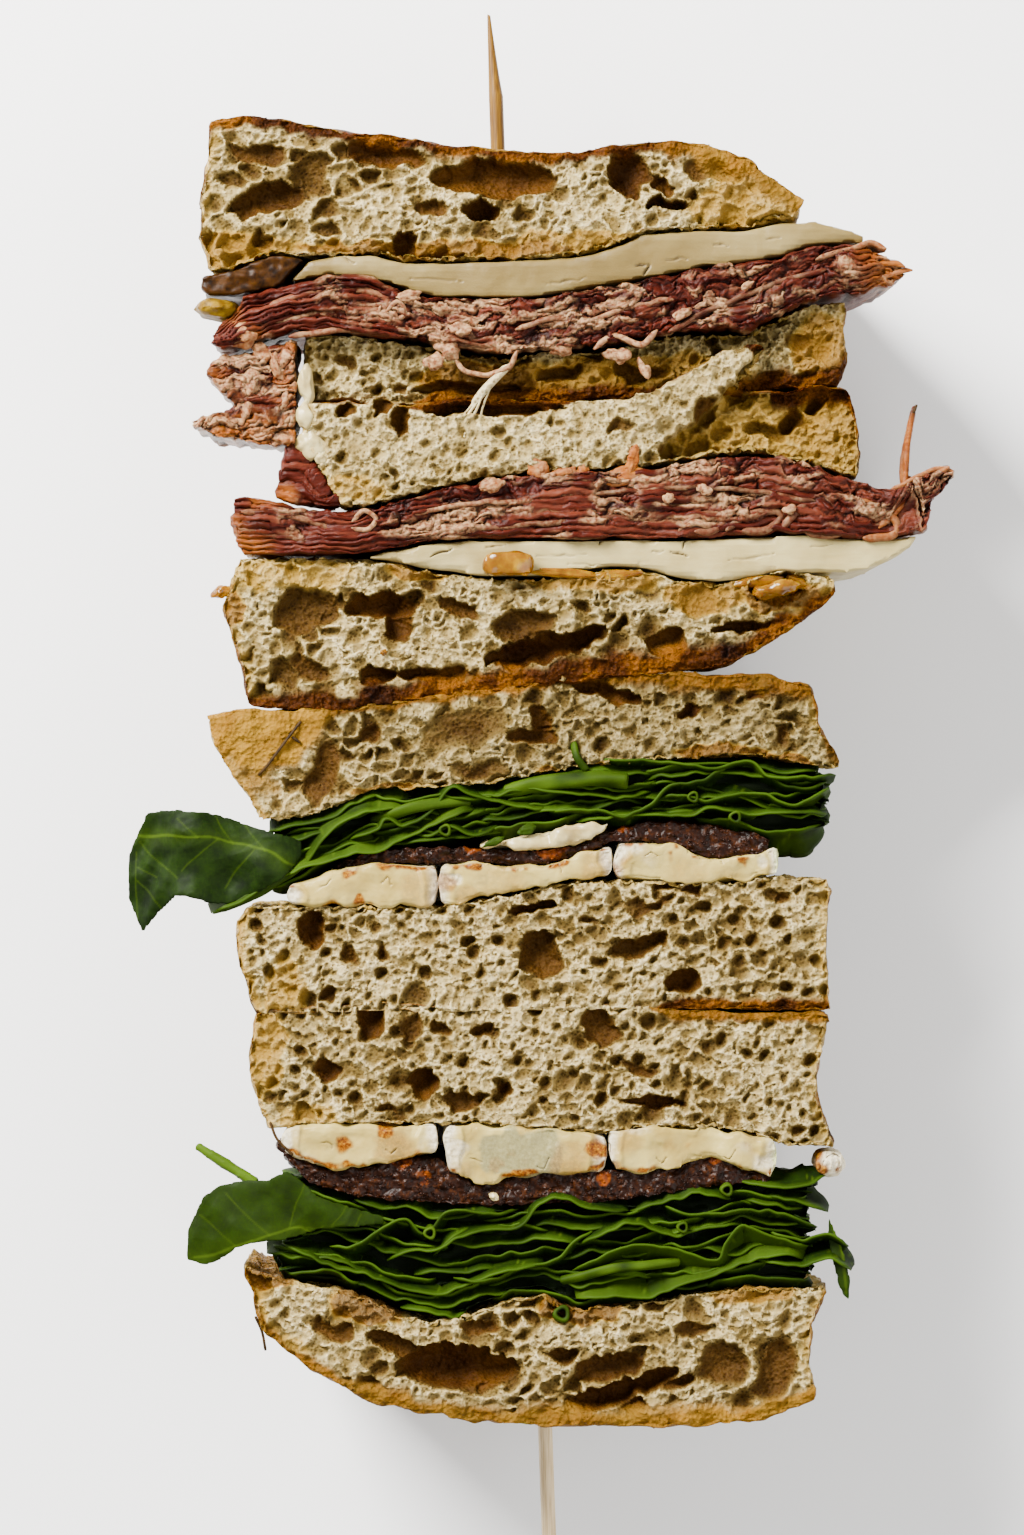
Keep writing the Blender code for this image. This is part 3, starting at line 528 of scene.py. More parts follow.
def bread_material():
    material, shader, add = new_material("ciabatta")
    where = add("TexCoord").outputs["Object"]
    hollow = marked(add, "hollow")
    brown = marked(add, "brown")
    crust = marked(add, "crust")
    soaked = marked(add, "soaked")
    flour = marked(add, "flour")
    patches = tones(add, where, 90, 4, 0.6)
    grain = tones(add, where, 1900, 5, 0.7)
    froth = add("TexVoronoi", {"Vector": where, "Scale": 1250}, feature="F1").outputs["Distance"]

    # Painted shade: the crumb is darker the deeper it is sunk, in its bubbles, pits and the pocks of its soft
    # side
    crumb = ramp(add, hollow, (0.0, (0.67, 0.56, 0.315)), (0.22, (0.43, 0.335, 0.145)),
                 (0.55, (0.17, 0.115, 0.032)), (1.0, (0.060, 0.031, 0.006)))
    fine = ramp(add, grain, (0.3, (0.62, 0.58, 0.50)), (0.7, (1.0, 1.0, 1.0)))
    crumb = blend_colours(add, 0.55, crumb, fine, "MULTIPLY")
    # Painted shade: small dark pores in the froth, finer than the surface is cut
    pores = ramp(add, froth, (0.16, (0.30, 0.25, 0.15)), (0.46, (1.0, 1.0, 1.0)))
    crumb = blend_colours(add, 0.85, crumb, pores, "MULTIPLY")
    tone = ramp(add, patches, (0.35, (0.86, 0.84, 0.78)), (0.65, (1.0, 1.0, 1.0)))
    crumb = blend_colours(add, 0.8, crumb, tone, "MULTIPLY")
    # Painted shade: the crumb is multiplied darker where it lies in shade
    dull = marked(add, "dull")
    crumb = blend_colours(add, dull, crumb, (0.52, 0.50, 0.44), "MULTIPLY")
    # The soaked colour: oil and jam soaked in, and in places painted shade
    wet = ramp(add, soaked, (0.0, (0.52, 0.36, 0.085)), (0.3, (0.36, 0.215, 0.028)),
               (0.6, (0.13, 0.055, 0.004)), (1.0, (0.030, 0.0075, 0.0009)))
    soaked_share = ramp(add, soaked, (0.0, (0, 0, 0)), (0.5, (0.85,) * 3))
    soaked_crumb = blend_colours(add, soaked_share, crumb, wet)
    # The skin inside the large bubbles: its own browner tint and painted shade
    skin = ramp(add, patches, (0.3, (0.022, 0.0062, 0.0008)), (0.7, (0.075, 0.028, 0.0032)))
    browned = blend_colours(add, brown, soaked_crumb, skin)
    baked = ramp(add, patches, (0.3, (0.007, 0.0015, 0.0002)), (0.48, (0.045, 0.0120, 0.0004)),
                 (0.7, (0.160, 0.056, 0.0012)))
    speckle = ramp(add, grain, (0.38, (0.25, 0.20, 0.16)), (0.62, (1.4, 1.35, 1.15)))
    baked = blend_colours(add, 0.7, baked, speckle, "MULTIPLY")
    dusted = blend_colours(add, flour, baked, (0.27, 0.142, 0.0125))
    colour = blend_colours(add, crust, browned, dusted)
    let_light_in(shader, 0.25, (1.0, 0.6, 0.3), 0.8, 0.04)
    roughness = ramp(add, soaked, (0.0, (0.55,) * 3), (1.0, (0.42,) * 3))
    finish(material, shader, add, colour, roughness, ((froth, 0.8, 0.5), (grain, 0.6, 0.25)))
    return material


ciabatta = bread_material()


def filled_bubbles(node):
    """The large bubbles of a bread's solid, as plugs for rebuilt()."""
    low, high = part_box(node)
    lid = LOW_CUT_HEIGHT.get(node, CUT_HEIGHT)
    return [(x, y, wide * FILLED_WIDER[0], tall * FILLED_WIDER[1], tilt, lid - FILLED_DEEP, lid)
            for x, y, wide, tall, _, tilt, _ in BUBBLES[node]
            if wide * tall > FILLED_FROM and low.y / MM + FILLED_INSIDE < y < high.y / MM - FILLED_INSIDE]


def small_bubbles(flat, openness, seed):
    """How deep the froth and the small round bubbles of the crumb are cut open at these places."""
    warped = flat + 0.6 * wobble(flat, 2.6, seed + 1)
    warped += 0.25 * wobble(flat, 0.9, seed + 3)
    gently = 0.4 * flat + 0.6 * warped
    drawn = warped * (1.0, 1.3)
    sizes = (3.2 * openness, 1.9, 1.05)
    coarse, medium, fine = (foam(drawn, size, seed + 23 + 7 * n)[0] for n, size in enumerate(sizes))
    loose = rise(noise(flat, 9.0, seed + 44) + 0.5 * noise(flat, 3.5, seed + 45), -0.35, 0.35)
    frothy, bubbly = (0.8, 1.7) if openness < 1 else (0.9, 1.0)
    return np.maximum.reduce([
        0.8 * cut_bubbles(warped, 6.0 * openness, 0.45 * openness, seed + 10),
        frothy * coarse * loose, frothy * medium, 0.8 * frothy * fine,
        bubbly * cut_bubbles(gently, 3.3, 0.8, seed + 62), bubbly * cut_bubbles(gently, 2.1, 0.9, seed + 68),
        0.9 * bubbly * cut_bubbles(gently, 1.35, 0.9, seed + 74),
    ])


def large_bubbles(node, ragged):
    """(depth, how brown and shaded, how smooth) of the large bubbles at these places; the brown is partly
    painted shade.
    """
    big, brown, smoothed = (np.zeros(len(ragged)) for _ in range(3))
    for x, y, wide, tall, depth, tilt, tone in BUBBLES[node]:
        along, across = np.abs(along_and_across(ragged[:, 0] - x, ragged[:, 1] - y, math.radians(tilt)))
        inside = np.clip(1 - (along / (wide * 1.05)) ** 2.3 - (across / (tall * 1.1)) ** 2.3, 0, 1)
        big = np.maximum(big, depth * inside ** 0.45)
        brown = np.maximum(brown, tone * rise(inside, 0.0, 0.35))
        smoothed = np.maximum(smoothed, rise(inside, 0.0, 0.15))
    return big, brown, smoothed


def soaked_spots(node, ragged):
    """How brown the spots are that something has soaked into, and those that are painted shade."""
    soaked = np.zeros(len(ragged))
    for x, y, wide, tall, tone in SOAKED[node]:
        near = np.clip(1 - ((ragged[:, 0] - x) / wide) ** 2 - ((ragged[:, 1] - y) / tall) ** 2, 0, 1)
        soaked = np.maximum(soaked, (0.25 + 0.75 * tone) * rise(near, 0, 0.45))
    return soaked


def bread(node):
    side = node[8:]
    seed = 100 * int(node[6]) + (50 if side == "top" else 0)
    piece = rebuilt(node + "_crumb", node, BREAD_FACE, 3, filled_bubbles(node))
    places, outward = places_of(piece)
    top = places[:, 2].max()
    flat = places[:, :2]
    up = cut_side(places, outward, 0.25, 12, 8)
    front = (outward[:, 2] > 0.5) & (places[:, 2] > top - 6)
    lower, upper = outline(places, front, 0, 1.5)
    left, right = outline(places, front, 1, 1.5)
    to_edge = upper - places[:, 1] if side == "top" else places[:, 1] - lower
    to_end = np.minimum(places[:, 0] - left, right - places[:, 0])
    near_front = rise(places[:, 2], top - 10, top - 3)

    # The open face: its swell, its bubbles and the tear behind the flap
    swell = sum(height * noise(flat, size, seed + 5 + n)
                for n, (height, size) in enumerate(zip(CRUMB_SWELL, (8.0, 2.8, 1.0))))
    ragged = flat + 0.9 * wobble(flat, 3.4, seed + 6)
    ragged += 0.35 * wobble(flat, 1.1, seed + 8)
    small = small_bubbles(flat, OPEN_CRUMB[node], seed)
    big, brown, smoothed = large_bubbles(node, ragged)
    behind = np.full(len(flat), -np.inf)
    if node in TORN_BACK:
        behind = flat[:, 0] - np.interp(flat[:, 1], *TORN_BACK[node]) + 0.8 * noise(flat, 2.0, seed + 47)
        small = small * (1 - 0.3 * rise(-behind, 0, 1.0) * rise(flat[:, 1], 60, 65))
        swell = swell + 1.3 - 5.0 * rise(behind, -0.2, 0.7)
    sunk = np.maximum(small * (1 - 0.75 * smoothed), 0) + big

    # The browned edge round it
    edge_band = across_face(places, BROWNED_EDGES[node]) * (1 + 0.45 * noise(flat, 3.0, seed + 11))
    rim = rise(-to_edge / np.maximum(edge_band, 0.05), -1.0, -0.45) * (edge_band > 0.25)
    crags = 0.5 * np.abs(noise(flat, 1.6, seed + 12)) + 0.5 * np.abs(noise(flat, 0.8, seed + 13))
    golden = rim * across_face(places, GOLDEN.get(node, NOWHERE)) * rise(places[:, 2], top - 16, top - 5)
    sunk = sunk * (1 - 0.6 * rim - 0.3 * golden) + rim * (1.2 - 0.6 * golden) * crags

    # The crust, and the soft side that lies on the filling
    crust_side = CRUSTY_SIDE[side] * outward[:, 1]
    ends_and_back = np.maximum(np.abs(outward[:, 0]), -outward[:, 2])
    baked_end = 0.9 * rise(ends_and_back, 0.4, 0.75) * rise(top - places[:, 2], 1.5, 8.0)
    baked = (1 - up) * np.maximum(rise(crust_side, -0.35, 0.05), baked_end)
    wrinkle = CRAG * noise(places, 5.0, seed + 14) + 0.3 * CRAG * noise(places, 1.6, seed + 15)
    underside = (1 - up) * (1 - baked)
    pocked = 0.6 * foam(np.stack([places[:, 0], places[:, 2]], axis=1), 2.4, seed + 60)[0]
    stand_out = wrinkle * baked + underside * (0.55 * noise(places, 2.0, seed + 16) - pocked)
    new = places + outward * ((1 - up) * stand_out)[:, None]
    new[:, 2] += up * (swell - sunk)
    if node in PRESSED:
        new[:, 1] += PRESSED[node] * near_front * rise(-to_edge, -3, 0) * rise(-flat[:, 0], -32, -16)
    shift = 0.35 * wobble(places, 2.2, seed + 17) + 0.16 * wobble(places, 0.8, seed + 19)
    new[:, :2] += near_front[:, None] * shift
    new[:, 2] = np.maximum(new[:, 2], 0)
    move_to(piece, new)

    # What its material reads
    soaked = np.maximum(underside * 0.2, soaked_spots(node, ragged) * np.maximum(up, underside))
    # Painted shade: the crumb torn back behind the flap is painted soaked brown
    soaked = np.maximum(soaked, 0.4 * rise(behind, -0.1, 1.0) * up)
    # Painted shade along the face, and darker still behind the flap where the crumb is torn back
    dull = across_face(places, DULL.get(node, NOWHERE)) + 0.25 * noise(flat, 7.0, seed + 48)
    dull = np.maximum(dull, 0.75 * rise(behind, -0.1, 1.0))
    end_glow = 0.25 + 0.2 * (flat[:, 0] < 0) * node.startswith(OILY_LEFT_ENDS)
    end_glow = end_glow * rise(-to_end, -2.5, -0.3) * up
    # How deep each place is sunk, read by the crumb's painted shade; the soft side is a little darker overall
    # and darker in its pocks
    hollow = np.where(underside > up, 0.2 + 0.5 * pocked, sunk / 2.2)
    flour = rise(noise(places, 7.0, seed + 21) + 0.5 * noise(places, 1.3, seed + 22), 0.1, 0.9) * (1 - up)
    mark(piece, "dull", np.clip(dull, 0, 1) * (node in DULL))
    mark(piece, "hollow", np.clip(hollow, 0, 1) * (1 - baked))
    mark(piece, "brown", np.clip(brown * up, 0, 1))
    mark(piece, "soaked", np.clip(np.maximum(soaked, end_glow), 0, 1))
    mark(piece, "crust", np.clip(baked + rim * up, 0, 1))
    mark(piece, "flour", np.maximum(0.7 * flour, golden * (0.75 + 0.35 * noise(flat, 2.4, seed + 49))))
    piece.data.materials.append(ciabatta)
    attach(piece, "root")
    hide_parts(node)
    return piece


breads = {node: bread(node) for node in BUBBLES}

# The skewer: split bamboo, dull gold, whittled from its right side to a blunt point above the tower.
# The grain runs along it in long fine fibres, and its lower end is cut square.
SKEWER_RADIUS = 1.4  # mm
SKEWER_HEIGHT = 30.0  # above the table
SKEWER_LEAN = 0.037
SKEWER_MIDDLE_X = -3.7
WHITTLED = 16.0
TIP_RADIUS = 0.3
SKEWER_SIDES = 28

low, high = (corner.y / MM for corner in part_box("skewer"))
rings = np.concatenate([[low, low, low + 0.15], np.arange(low + 1, high - 1.5, 0.8),
                        np.linspace(high - 1.5, high, 7)])
shoulder = high - WHITTLED
angles = np.linspace(0, 2 * math.pi, SKEWER_SIDES, endpoint=False)
skewer_points = []
for n, y in enumerate(rings):
    whittled = min(max((y - shoulder) / WHITTLED, 0), 1)
    radius = SKEWER_RADIUS + (TIP_RADIUS - SKEWER_RADIUS) * whittled ** 0.85
    if n == 0 or n == len(rings) - 1:
        radius = 0.02
    elif n == 1:
        radius *= 0.93
    middle = SKEWER_MIDDLE_X - SKEWER_LEAN * y - (SKEWER_RADIUS - radius) * 0.75 * (whittled > 0)
    fibres = 1 + 0.018 * np.sin(9 * angles + 0.1 * y) + 0.012 * np.sin(5 * angles - 0.07 * y + 1)
    skewer_points.append(np.stack([middle + radius * fibres * np.cos(angles), np.full(SKEWER_SIDES, y),
                                   SKEWER_HEIGHT + radius * fibres * np.sin(angles)], axis=1))


def grid_faces(rows, columns, closed):
    """The faces of a grid of points, row after row; closed joins each row's end to its start."""
    r, c = np.meshgrid(np.arange(rows - 1), np.arange(columns if closed else columns - 1), indexing="ij")
    r, c = r.ravel(), c.ravel()
    after = (c + 1) % columns
    here, above = r * columns, (r + 1) * columns
    return np.stack([here + c, here + after, above + after, above + c], axis=1)


def piece_from(name, points, faces, material, node, slot):
    """A finished piece from points in mm that stands for a CAD node, or rides beside one if node is None."""
    mesh = bpy.data.meshes.new(name)
    mesh.from_pydata((np.asarray(points) * MM).tolist(), [], [tuple(map(int, face)) for face in faces])
    mesh.shade_smooth()
    piece = bpy.data.objects.new(name, mesh)
    bpy.context.scene.collection.objects.link(piece)
    piece.data.materials.append(material)
    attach(piece, "root")
    if node:
        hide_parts(node)
    return piece


bamboo, shader, add = new_material("split_bamboo")
where = add("TexCoord").outputs["Object"]
stretched = add("Mapping", {"Vector": where, "Scale": (1.0, 0.035, 1.0)}).outputs["Vector"]
fibre = tones(add, stretched, 4200, 4)
broad = tones(add, where, 60, 2)
golden = ramp(add, fibre, (0.3, (0.065, 0.025, 0.0002)), (0.55, (0.150, 0.068, 0.0005)),
              (0.8, (0.255, 0.132, 0.001)))
beige = ramp(add, fibre, (0.3, (0.50, 0.36, 0.18)), (0.7, (0.80, 0.66, 0.42)))
length = add("SeparateXYZ", {"Vector": where}).outputs["Y"]
upper_part = add("MapRange", {"Value": length, "From Min": -0.12, "From Max": 0.12}).outputs["Result"]
colour = blend_colours(add, upper_part, beige, golden)
tone = ramp(add, broad, (0.35, (0.8, 0.75, 0.7)), (0.65, (1, 1, 1)))
finish(bamboo, shader, add, blend_colours(add, 0.8, colour, tone, "MULTIPLY"), 0.5, ((fibre, 0.5, 0.1),))
shader.inputs["Specular IOR Level"].default_value = 0.25
skewer_faces = grid_faces(len(rings), SKEWER_SIDES, True)[:, ::-1]
piece_from("skewer_bamboo", np.concatenate(skewer_points), skewer_faces, bamboo, "skewer", "bamboo")

# The sliced cheese: a pale, close, slightly crumbly slice in each of the two upper sandwiches, cut clean
# with the bread. Short cracks open along it and across it, and it shines a little with its own fat.
CHEESE_CRACKS = {  # x, y, half length, tilt in degrees, depth, all in mm but the tilt
    "cheese_1": ((-36.5, 101.4, 1.6, -28, 0.7), (19, 100.6, 1.5, 10, 0.8), (20, 99.6, 1.6, 68, 0.9),
                 (26, 101.8, 2.4, 4, 0.5), (34, 104.4, 1.6, 2, 0.5), (44, 105.6, 1.8, 6, 0.4),
                 (5, 97.5, 4, 8, 0.35), (-20, 97.8, 5, -3, 0.3)),
    "cheese_2": ((27, 47.3, 1.0, 80, 1.0), (11, 48.2, 0.8, 100, 0.8), (26, 45.6, 2.2, -14, 0.9),
                 (22, 46.2, 1.6, 6, 0.4), (-19, 46.0, 2.6, 22, 0.8), (-9, 47.3, 2.4, 4, 0.5),
                 (53, 47.2, 2.4, 6, 0.4), (40, 45.0, 5.0, 8, 0.3), (4, 45.4, 5.0, 2, 0.3),
                 (8, 43.6, 4.0, -4, 0.3)),
}

cheese_paste, shader, add = new_material("pale_cheese")
where = add("TexCoord").outputs["Object"]
layered = add("Mapping", {"Vector": where, "Scale": (0.12, 1.0, 1.0)}).outputs["Vector"]
streaks = tones(add, layered, 900, 4, 0.6)
grain = tones(add, where, 2600, 4)
clouds = tones(add, where, 70, 3)
crack = marked(add, "crack")
colour = ramp(add, clouds, (0.3, (0.32, 0.245, 0.085)), (0.7, (0.50, 0.42, 0.195)))
# Painted shade: the paste is multiplied darker where the slice lies in shade
dull = marked(add, "dull")
colour = blend_colours(add, dull, colour, (0.38, 0.325, 0.22), "MULTIPLY")
lined = ramp(add, streaks, (0.35, (0.82, 0.79, 0.70)), (0.6, (1, 1, 1)))
colour = blend_colours(add, 0.5, colour, lined, "MULTIPLY")
# Painted shade in the cracks
colour = blend_colours(add, crack, colour, (0.16, 0.11, 0.05))
let_light_in(shader, 0.35, (1.0, 0.8, 0.45), 1.0, 0.25)
finish(cheese_paste, shader, add, colour, 0.42, ((streaks, 0.35, 0.2), (grain, 0.35, 0.12)))

for node, cracks in CHEESE_CRACKS.items():
    piece = rebuilt(node + "_slice", node, 1.0, 3)
    places, outward = places_of(piece)
    top = places[:, 2].max()
    up = cut_side(places, outward, 0.25, 6, 4)
    groove = np.zeros(len(places))
    wavering = places[:, :2] + 0.25 * wobble(places[:, :2], 1.3, 5)
    for x, y, reach, tilt, deep in cracks:
        along, across = np.abs(along_and_across(wavering[:, 0] - x, wavering[:, 1] - y, math.radians(tilt)))
        width = 0.28 * (1.1 - np.minimum(along / reach, 1)) + 0.02
        groove = np.maximum(groove, deep * rise(-across / width, -1, -0.2) * (along < reach))
    places = places + outward * (0.22 * noise(places, 6, 3) + 0.07 * noise(places, 1.5, 4))[:, None]
    places[:, 2] -= up * groove
    places[:, 1] += 0.18 * noise(places, 3.0, 7) * rise(places[:, 2], top - 12, top - 2)
    move_to(piece, places)
    mark(piece, "crack", np.clip(groove * 1.2, 0, 0.85))
    # Painted shade: cheese_2 darker towards its left, cheese_1 in shade all over
    shaded = 0.25 * rise(-places[:, 0], -20, 20)
    if node == "cheese_1":
        shaded = 0.95 + 0.3 * noise(places, 9.0, 10)
    mark(piece, "dull", np.clip(shaded, 0, 1))
    piece.data.materials.append(cheese_paste)
    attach(piece, "root")
    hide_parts(node)

# The pickle: two slices of brown vinegar pickle under the left end of the top bread, wet and wrinkled,
# one nearly black and one thin and olive yellow.
PICKLES = {"pickle_1_long": ((0.006, 0.002, 0.0002), (0.040, 0.0135, 0.0008)),
           "pickle_1_short": ((0.07, 0.034, 0.001), (0.22, 0.13, 0.004))}  # its dark and its light colour
SHORT_PICKLE_MIDDLE = np.array((-66.6, 92.4))
SHORT_PICKLE_SPREAD = np.array((1.35, 1.25))
for node, (dark, light) in PICKLES.items():
    flesh, shader, add = new_material(node + "_flesh")
    where = add("TexCoord").outputs["Object"]
    mottle = tones(add, where, 420, 5, 0.65)
    let_light_in(shader, 0.3, (1.0, 0.5, 0.15), 1.0, 0.08)
    finish(flesh, shader, add, ramp(add, mottle, (0.35, dark), (0.65, light)), 0.4, ((mottle, 0.25, 0.3),))
    piece = rebuilt(node + "_slice", node, 0.7, 1)
    places, outward = places_of(piece)
    ridges = 0.35 * noise(places * (1, 2.2, 0.4), 2.6, 8) + 0.12 * noise(places, 0.9, 9)
    places = places + outward * (ridges - 0.1)[:, None]
    if node == "pickle_1_short":
        places[:, :2] = places[:, :2] * SHORT_PICKLE_SPREAD - SHORT_PICKLE_MIDDLE * (SHORT_PICKLE_SPREAD - 1)
    move_to(piece, places)
    piece.data.materials.append(flesh)
    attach(piece, "root")
    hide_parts(node)

# The ham: many thin slices of cured ham folded together and seen from their cut edges, mauve and dark
# red in the lean, white to pink in the fat. Each pressed stack is its solid with the slices' edges
# standing out over dark gaps.
HAM_STACKS = {  # slices, how far their edges stand out in mm, share of fat
    "ham_1": (9, 1.4, 0.30),
    "ham_1_fold": (6, 1.5, 0.58),
    "ham_2": (9, 1.1, 0.34),
    "ham_strand_2": (5, 0.9, 0.2),
}
STRAND_WIDER = 1.5  # mm, to the right and up

CHOPPED = {  # how broken into chunks the ham is, at these x in mm, and where it starts up its height
    "ham_1": ((-60, -30, -22, 10, 40, 55), (0.0, 0.3, 1.0, 1.0, 0.85, 0.6), -0.4),
    "ham_1_fold": ((-67, -46), (0.8, 1.0), -0.4),
    "ham_2": ((-60, -40, -10, 30, 80), (0.15, 0.6, 0.75, 0.85, 0.5), 0.0),
    "ham_strand_2": ((-52, -38), (0.1, 0.3), 0.3),
}

FAT_ALONG = {  # how much more or less fat than the rest of its stack, at these x in mm
    "ham_1": ((-60, -34, -24, 12, 24, 60), (-0.15, 0.0, 0.2, 0.2, -0.22, -0.22)),
    "ham_1_fold": ((-67, -46), (0.1, -0.15)),
    "ham_2": ((-60, -36, -20, 20, 50, 80), (-0.25, -0.05, 0.1, 0.05, -0.1, -0.2)),
    "ham_strand_2": ((-52, -38), (0.0, 0.0)),
}

ham_meat, shader, add = new_material("cured_ham")
where = add("TexCoord").outputs["Object"]
fat = marked(add, "fat")
lean = marked(add, "lean")
gap = marked(add, "gap")
orange = marked(add, "orange")
drawn = add("Mapping", {"Vector": where, "Scale": (0.22, 1.0, 1.0)}).outputs["Vector"]
fibre = tones(add, drawn, 1500, 5, 0.65)
specks = tones(add, where, 1300, 3)
meat = ramp(add, lean, (0.0, (0.118, 0.029, 0.0135)), (0.5, (0.054, 0.0082, 0.0040)),
            (1.0, (0.018, 0.0017, 0.0008)))
grained = ramp(add, fibre, (0.3, (0.55, 0.48, 0.48)), (0.7, (1.3, 1.2, 1.2)))
meat = blend_colours(add, 0.75, meat, grained, "MULTIPLY")
dried = ramp(add, fibre, (0.3, (0.12, 0.022, 0.0018)), (0.7, (0.36, 0.115, 0.014)))
meat = blend_colours(add, orange, meat, dried)
white = ramp(add, specks, (0.35, (0.150, 0.050, 0.020)), (0.62, (0.41, 0.245, 0.12)))
meat = blend_colours(add, fat, meat, white)
# Painted shade: near black in the gaps between slices and chunks
meat = blend_colours(add, gap, meat, (0.006, 0.0008, 0.0005))
let_light_in(shader, 0.3, (1.0, 0.35, 0.25), 1.0, 0.08)
finish(ham_meat, shader, add, meat, 0.33, ((fibre, 0.7, 0.3), (specks, 0.4, 0.15)))


def ham_stack(node):
    """One pressed stack: its slices' edges over dark gaps, chopped into chunks here and there."""
    slices, stand, fatness = HAM_STACKS[node]
    seed = 300 + 10 * list(HAM_STACKS).index(node)
    piece = rebuilt(node + "_slices", node, 1.0, 3)
    places, outward = places_of(piece)
    top = places[:, 2].max()
    flat = places[:, :2]
    up = cut_side(places, outward, 0.2, 9, 6)
    front = (outward[:, 2] > 0.4) & (places[:, 2] > top - 8)
    lower, upper = outline(places, front, 0, 2.0)
    share = (places[:, 1] - lower) / np.maximum(upper - lower, 1.0)
    wander = 1.2 * noise(places * (1, 0.7, 0.5), 17, seed) + 0.65 * noise(places * (1, 0.9, 0.5), 6, seed + 1)
    wander += 0.16 * noise(places * (1, 1, 0.5), 1.8, seed + 2)

    # Which slice each place is in, and how near to the middle of its edge
    ply = share * slices + wander
    number = np.floor(ply)
    part = ply - number
    thinness = 0.5 + 0.5 * chance(np.stack([number.astype(int), number.astype(int)], axis=1), seed + 3)
    edge = np.clip(1 - np.abs(2 * part - 1) ** (2.0 + 2 * thinness), 0, 1)
    here = np.stack([places[:, 0], 29.0 * number, places[:, 2] * 0.4], axis=1)
    forward = noise(here, 9.0, seed + 4) + 0.5 * noise(here, 3.0, seed + 5)
    fibres = noise(places * (0.35, 2.2, 1), 0.9, seed + 6)
    open_gap = rise(noise(here, 12.0, seed + 7), -0.5, 0.5)
    depth = stand * (0.35 + 0.65 * open_gap) * (1 - edge)

    # The chunks
    bent = flat + 0.9 * wobble(flat, 2.8, seed + 30)
    bent += 0.35 * wobble(flat, 0.9, seed + 28)
    layered = np.stack([bent[:, 0], bent[:, 1] - 0.5 * (lower + upper)], axis=1)
    _, crevice, kind = foam(layered * (0.42, 1.35), 2.7, seed + 32)
    _, small_crevice, small_kind = foam(layered * (0.6, 1.5), 1.25, seed + 36)
    chop_x, chop_share, chop_from = CHOPPED[node]
    chopped = np.interp(places[:, 0], chop_x, chop_share) * rise(share, chop_from, chop_from + 0.4)
    chopped = 0.85 * rise(chopped + 0.6 * noise(flat, 6.0, seed + 40), 0.3, 0.8)
    height = 0.6 * stand * forward + 0.16 * fibres - depth
    chunky = 1.4 * (kind - 0.55) - 0.7 * crevice + 0.7 * (small_kind - 0.5) - 0.4 * small_crevice
    height = height * (1 - chopped) + chopped * (chunky + 0.3 * forward)
    lumpy = np.abs(noise(places, 2.4, seed + 8)) + 0.5 * np.abs(noise(places, 1.1, seed + 9))
    new = places + outward * (((1 - up) * (0.6 * height + 0.1)))[:, None]
    new[:, 2] += up * (height + 0.35 * lumpy * fatness)
    tattered = rise(places[:, 2], top - 12, top - 3)
    shift = 0.45 * wobble(places, 2.6, seed + 11) + 0.2 * wobble(places, 0.9, seed + 13)
    new[:, :2] += tattered[:, None] * shift
    if node == "ham_strand_2":
        new[:, :2] += STRAND_WIDER * rise(outward[:, :2], 0.0, 0.5) * tattered[:, None]
    new[:, 2] = np.clip(new[:, 2], 0.5, HIGHEST)
    move_to(piece, new)

    # What its material reads
    fatness = fatness + np.interp(places[:, 0], *FAT_ALONG[node])
    streak = noise(places * (0.22, 1.1, 0.4), 1.5, seed + 15)
    streak += 0.6 * noise(places * (0.6, 1, 0.6), 4.5, seed + 16)
    by_slice = noise(here, 8.0, seed + 17)
    fat_edge = rise(streak + 0.8 * by_slice + 2.2 * (fatness - 0.5), 0.25, 0.75)
    fat = fat_edge * (0.45 + 0.55 * edge) * (1 - chopped)
    fat += chopped * rise(0.8 * kind + 0.5 * small_kind + 0.45 * streak + 0.8 * (fatness - 0.5), 0.5, 0.95)
    mark(piece, "fat", np.clip(fat, 0, 1))
    mark(piece, "lean", np.clip(0.5 + 0.5 * noise(here, 14, seed + 18) + 0.2 * fibres, 0, 1))
    # Painted shade down in the gaps and between the chunks
    between_chunks = np.maximum(rise(crevice, 0.5, 1.0) * (kind < 0.7), 0.6 * rise(small_crevice, 0.6, 1.0))
    dark = rise(depth / stand, 0.3, 0.9) * (1 - chopped) + chopped * between_chunks
    mark(piece, "gap", np.clip(dark, 0, 0.95))
    rim = np.minimum(np.abs(places[:, 0] - places[:, 0].min()), np.abs(places[:, 0].max() - places[:, 0]))
    tail = rise(-places[:, 1], -74, -69) * (node == "ham_1_fold")
    dried = 0.75 * rise(noise(places, 5, seed + 19), -0.2, 0.7) * rise(-rim, -13, -2)
    mark(piece, "orange", np.maximum(dried, 0.8 * tail))
    piece.data.materials.append(ham_meat)
    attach(piece, "root")
    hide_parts(node)


for node in HAM_STACKS:
    ham_stack(node)


def from_ends(count):
    """How many steps each of so many points is from the nearer end of its row."""
    return np.minimum(np.arange(count), np.arange(count)[::-1])


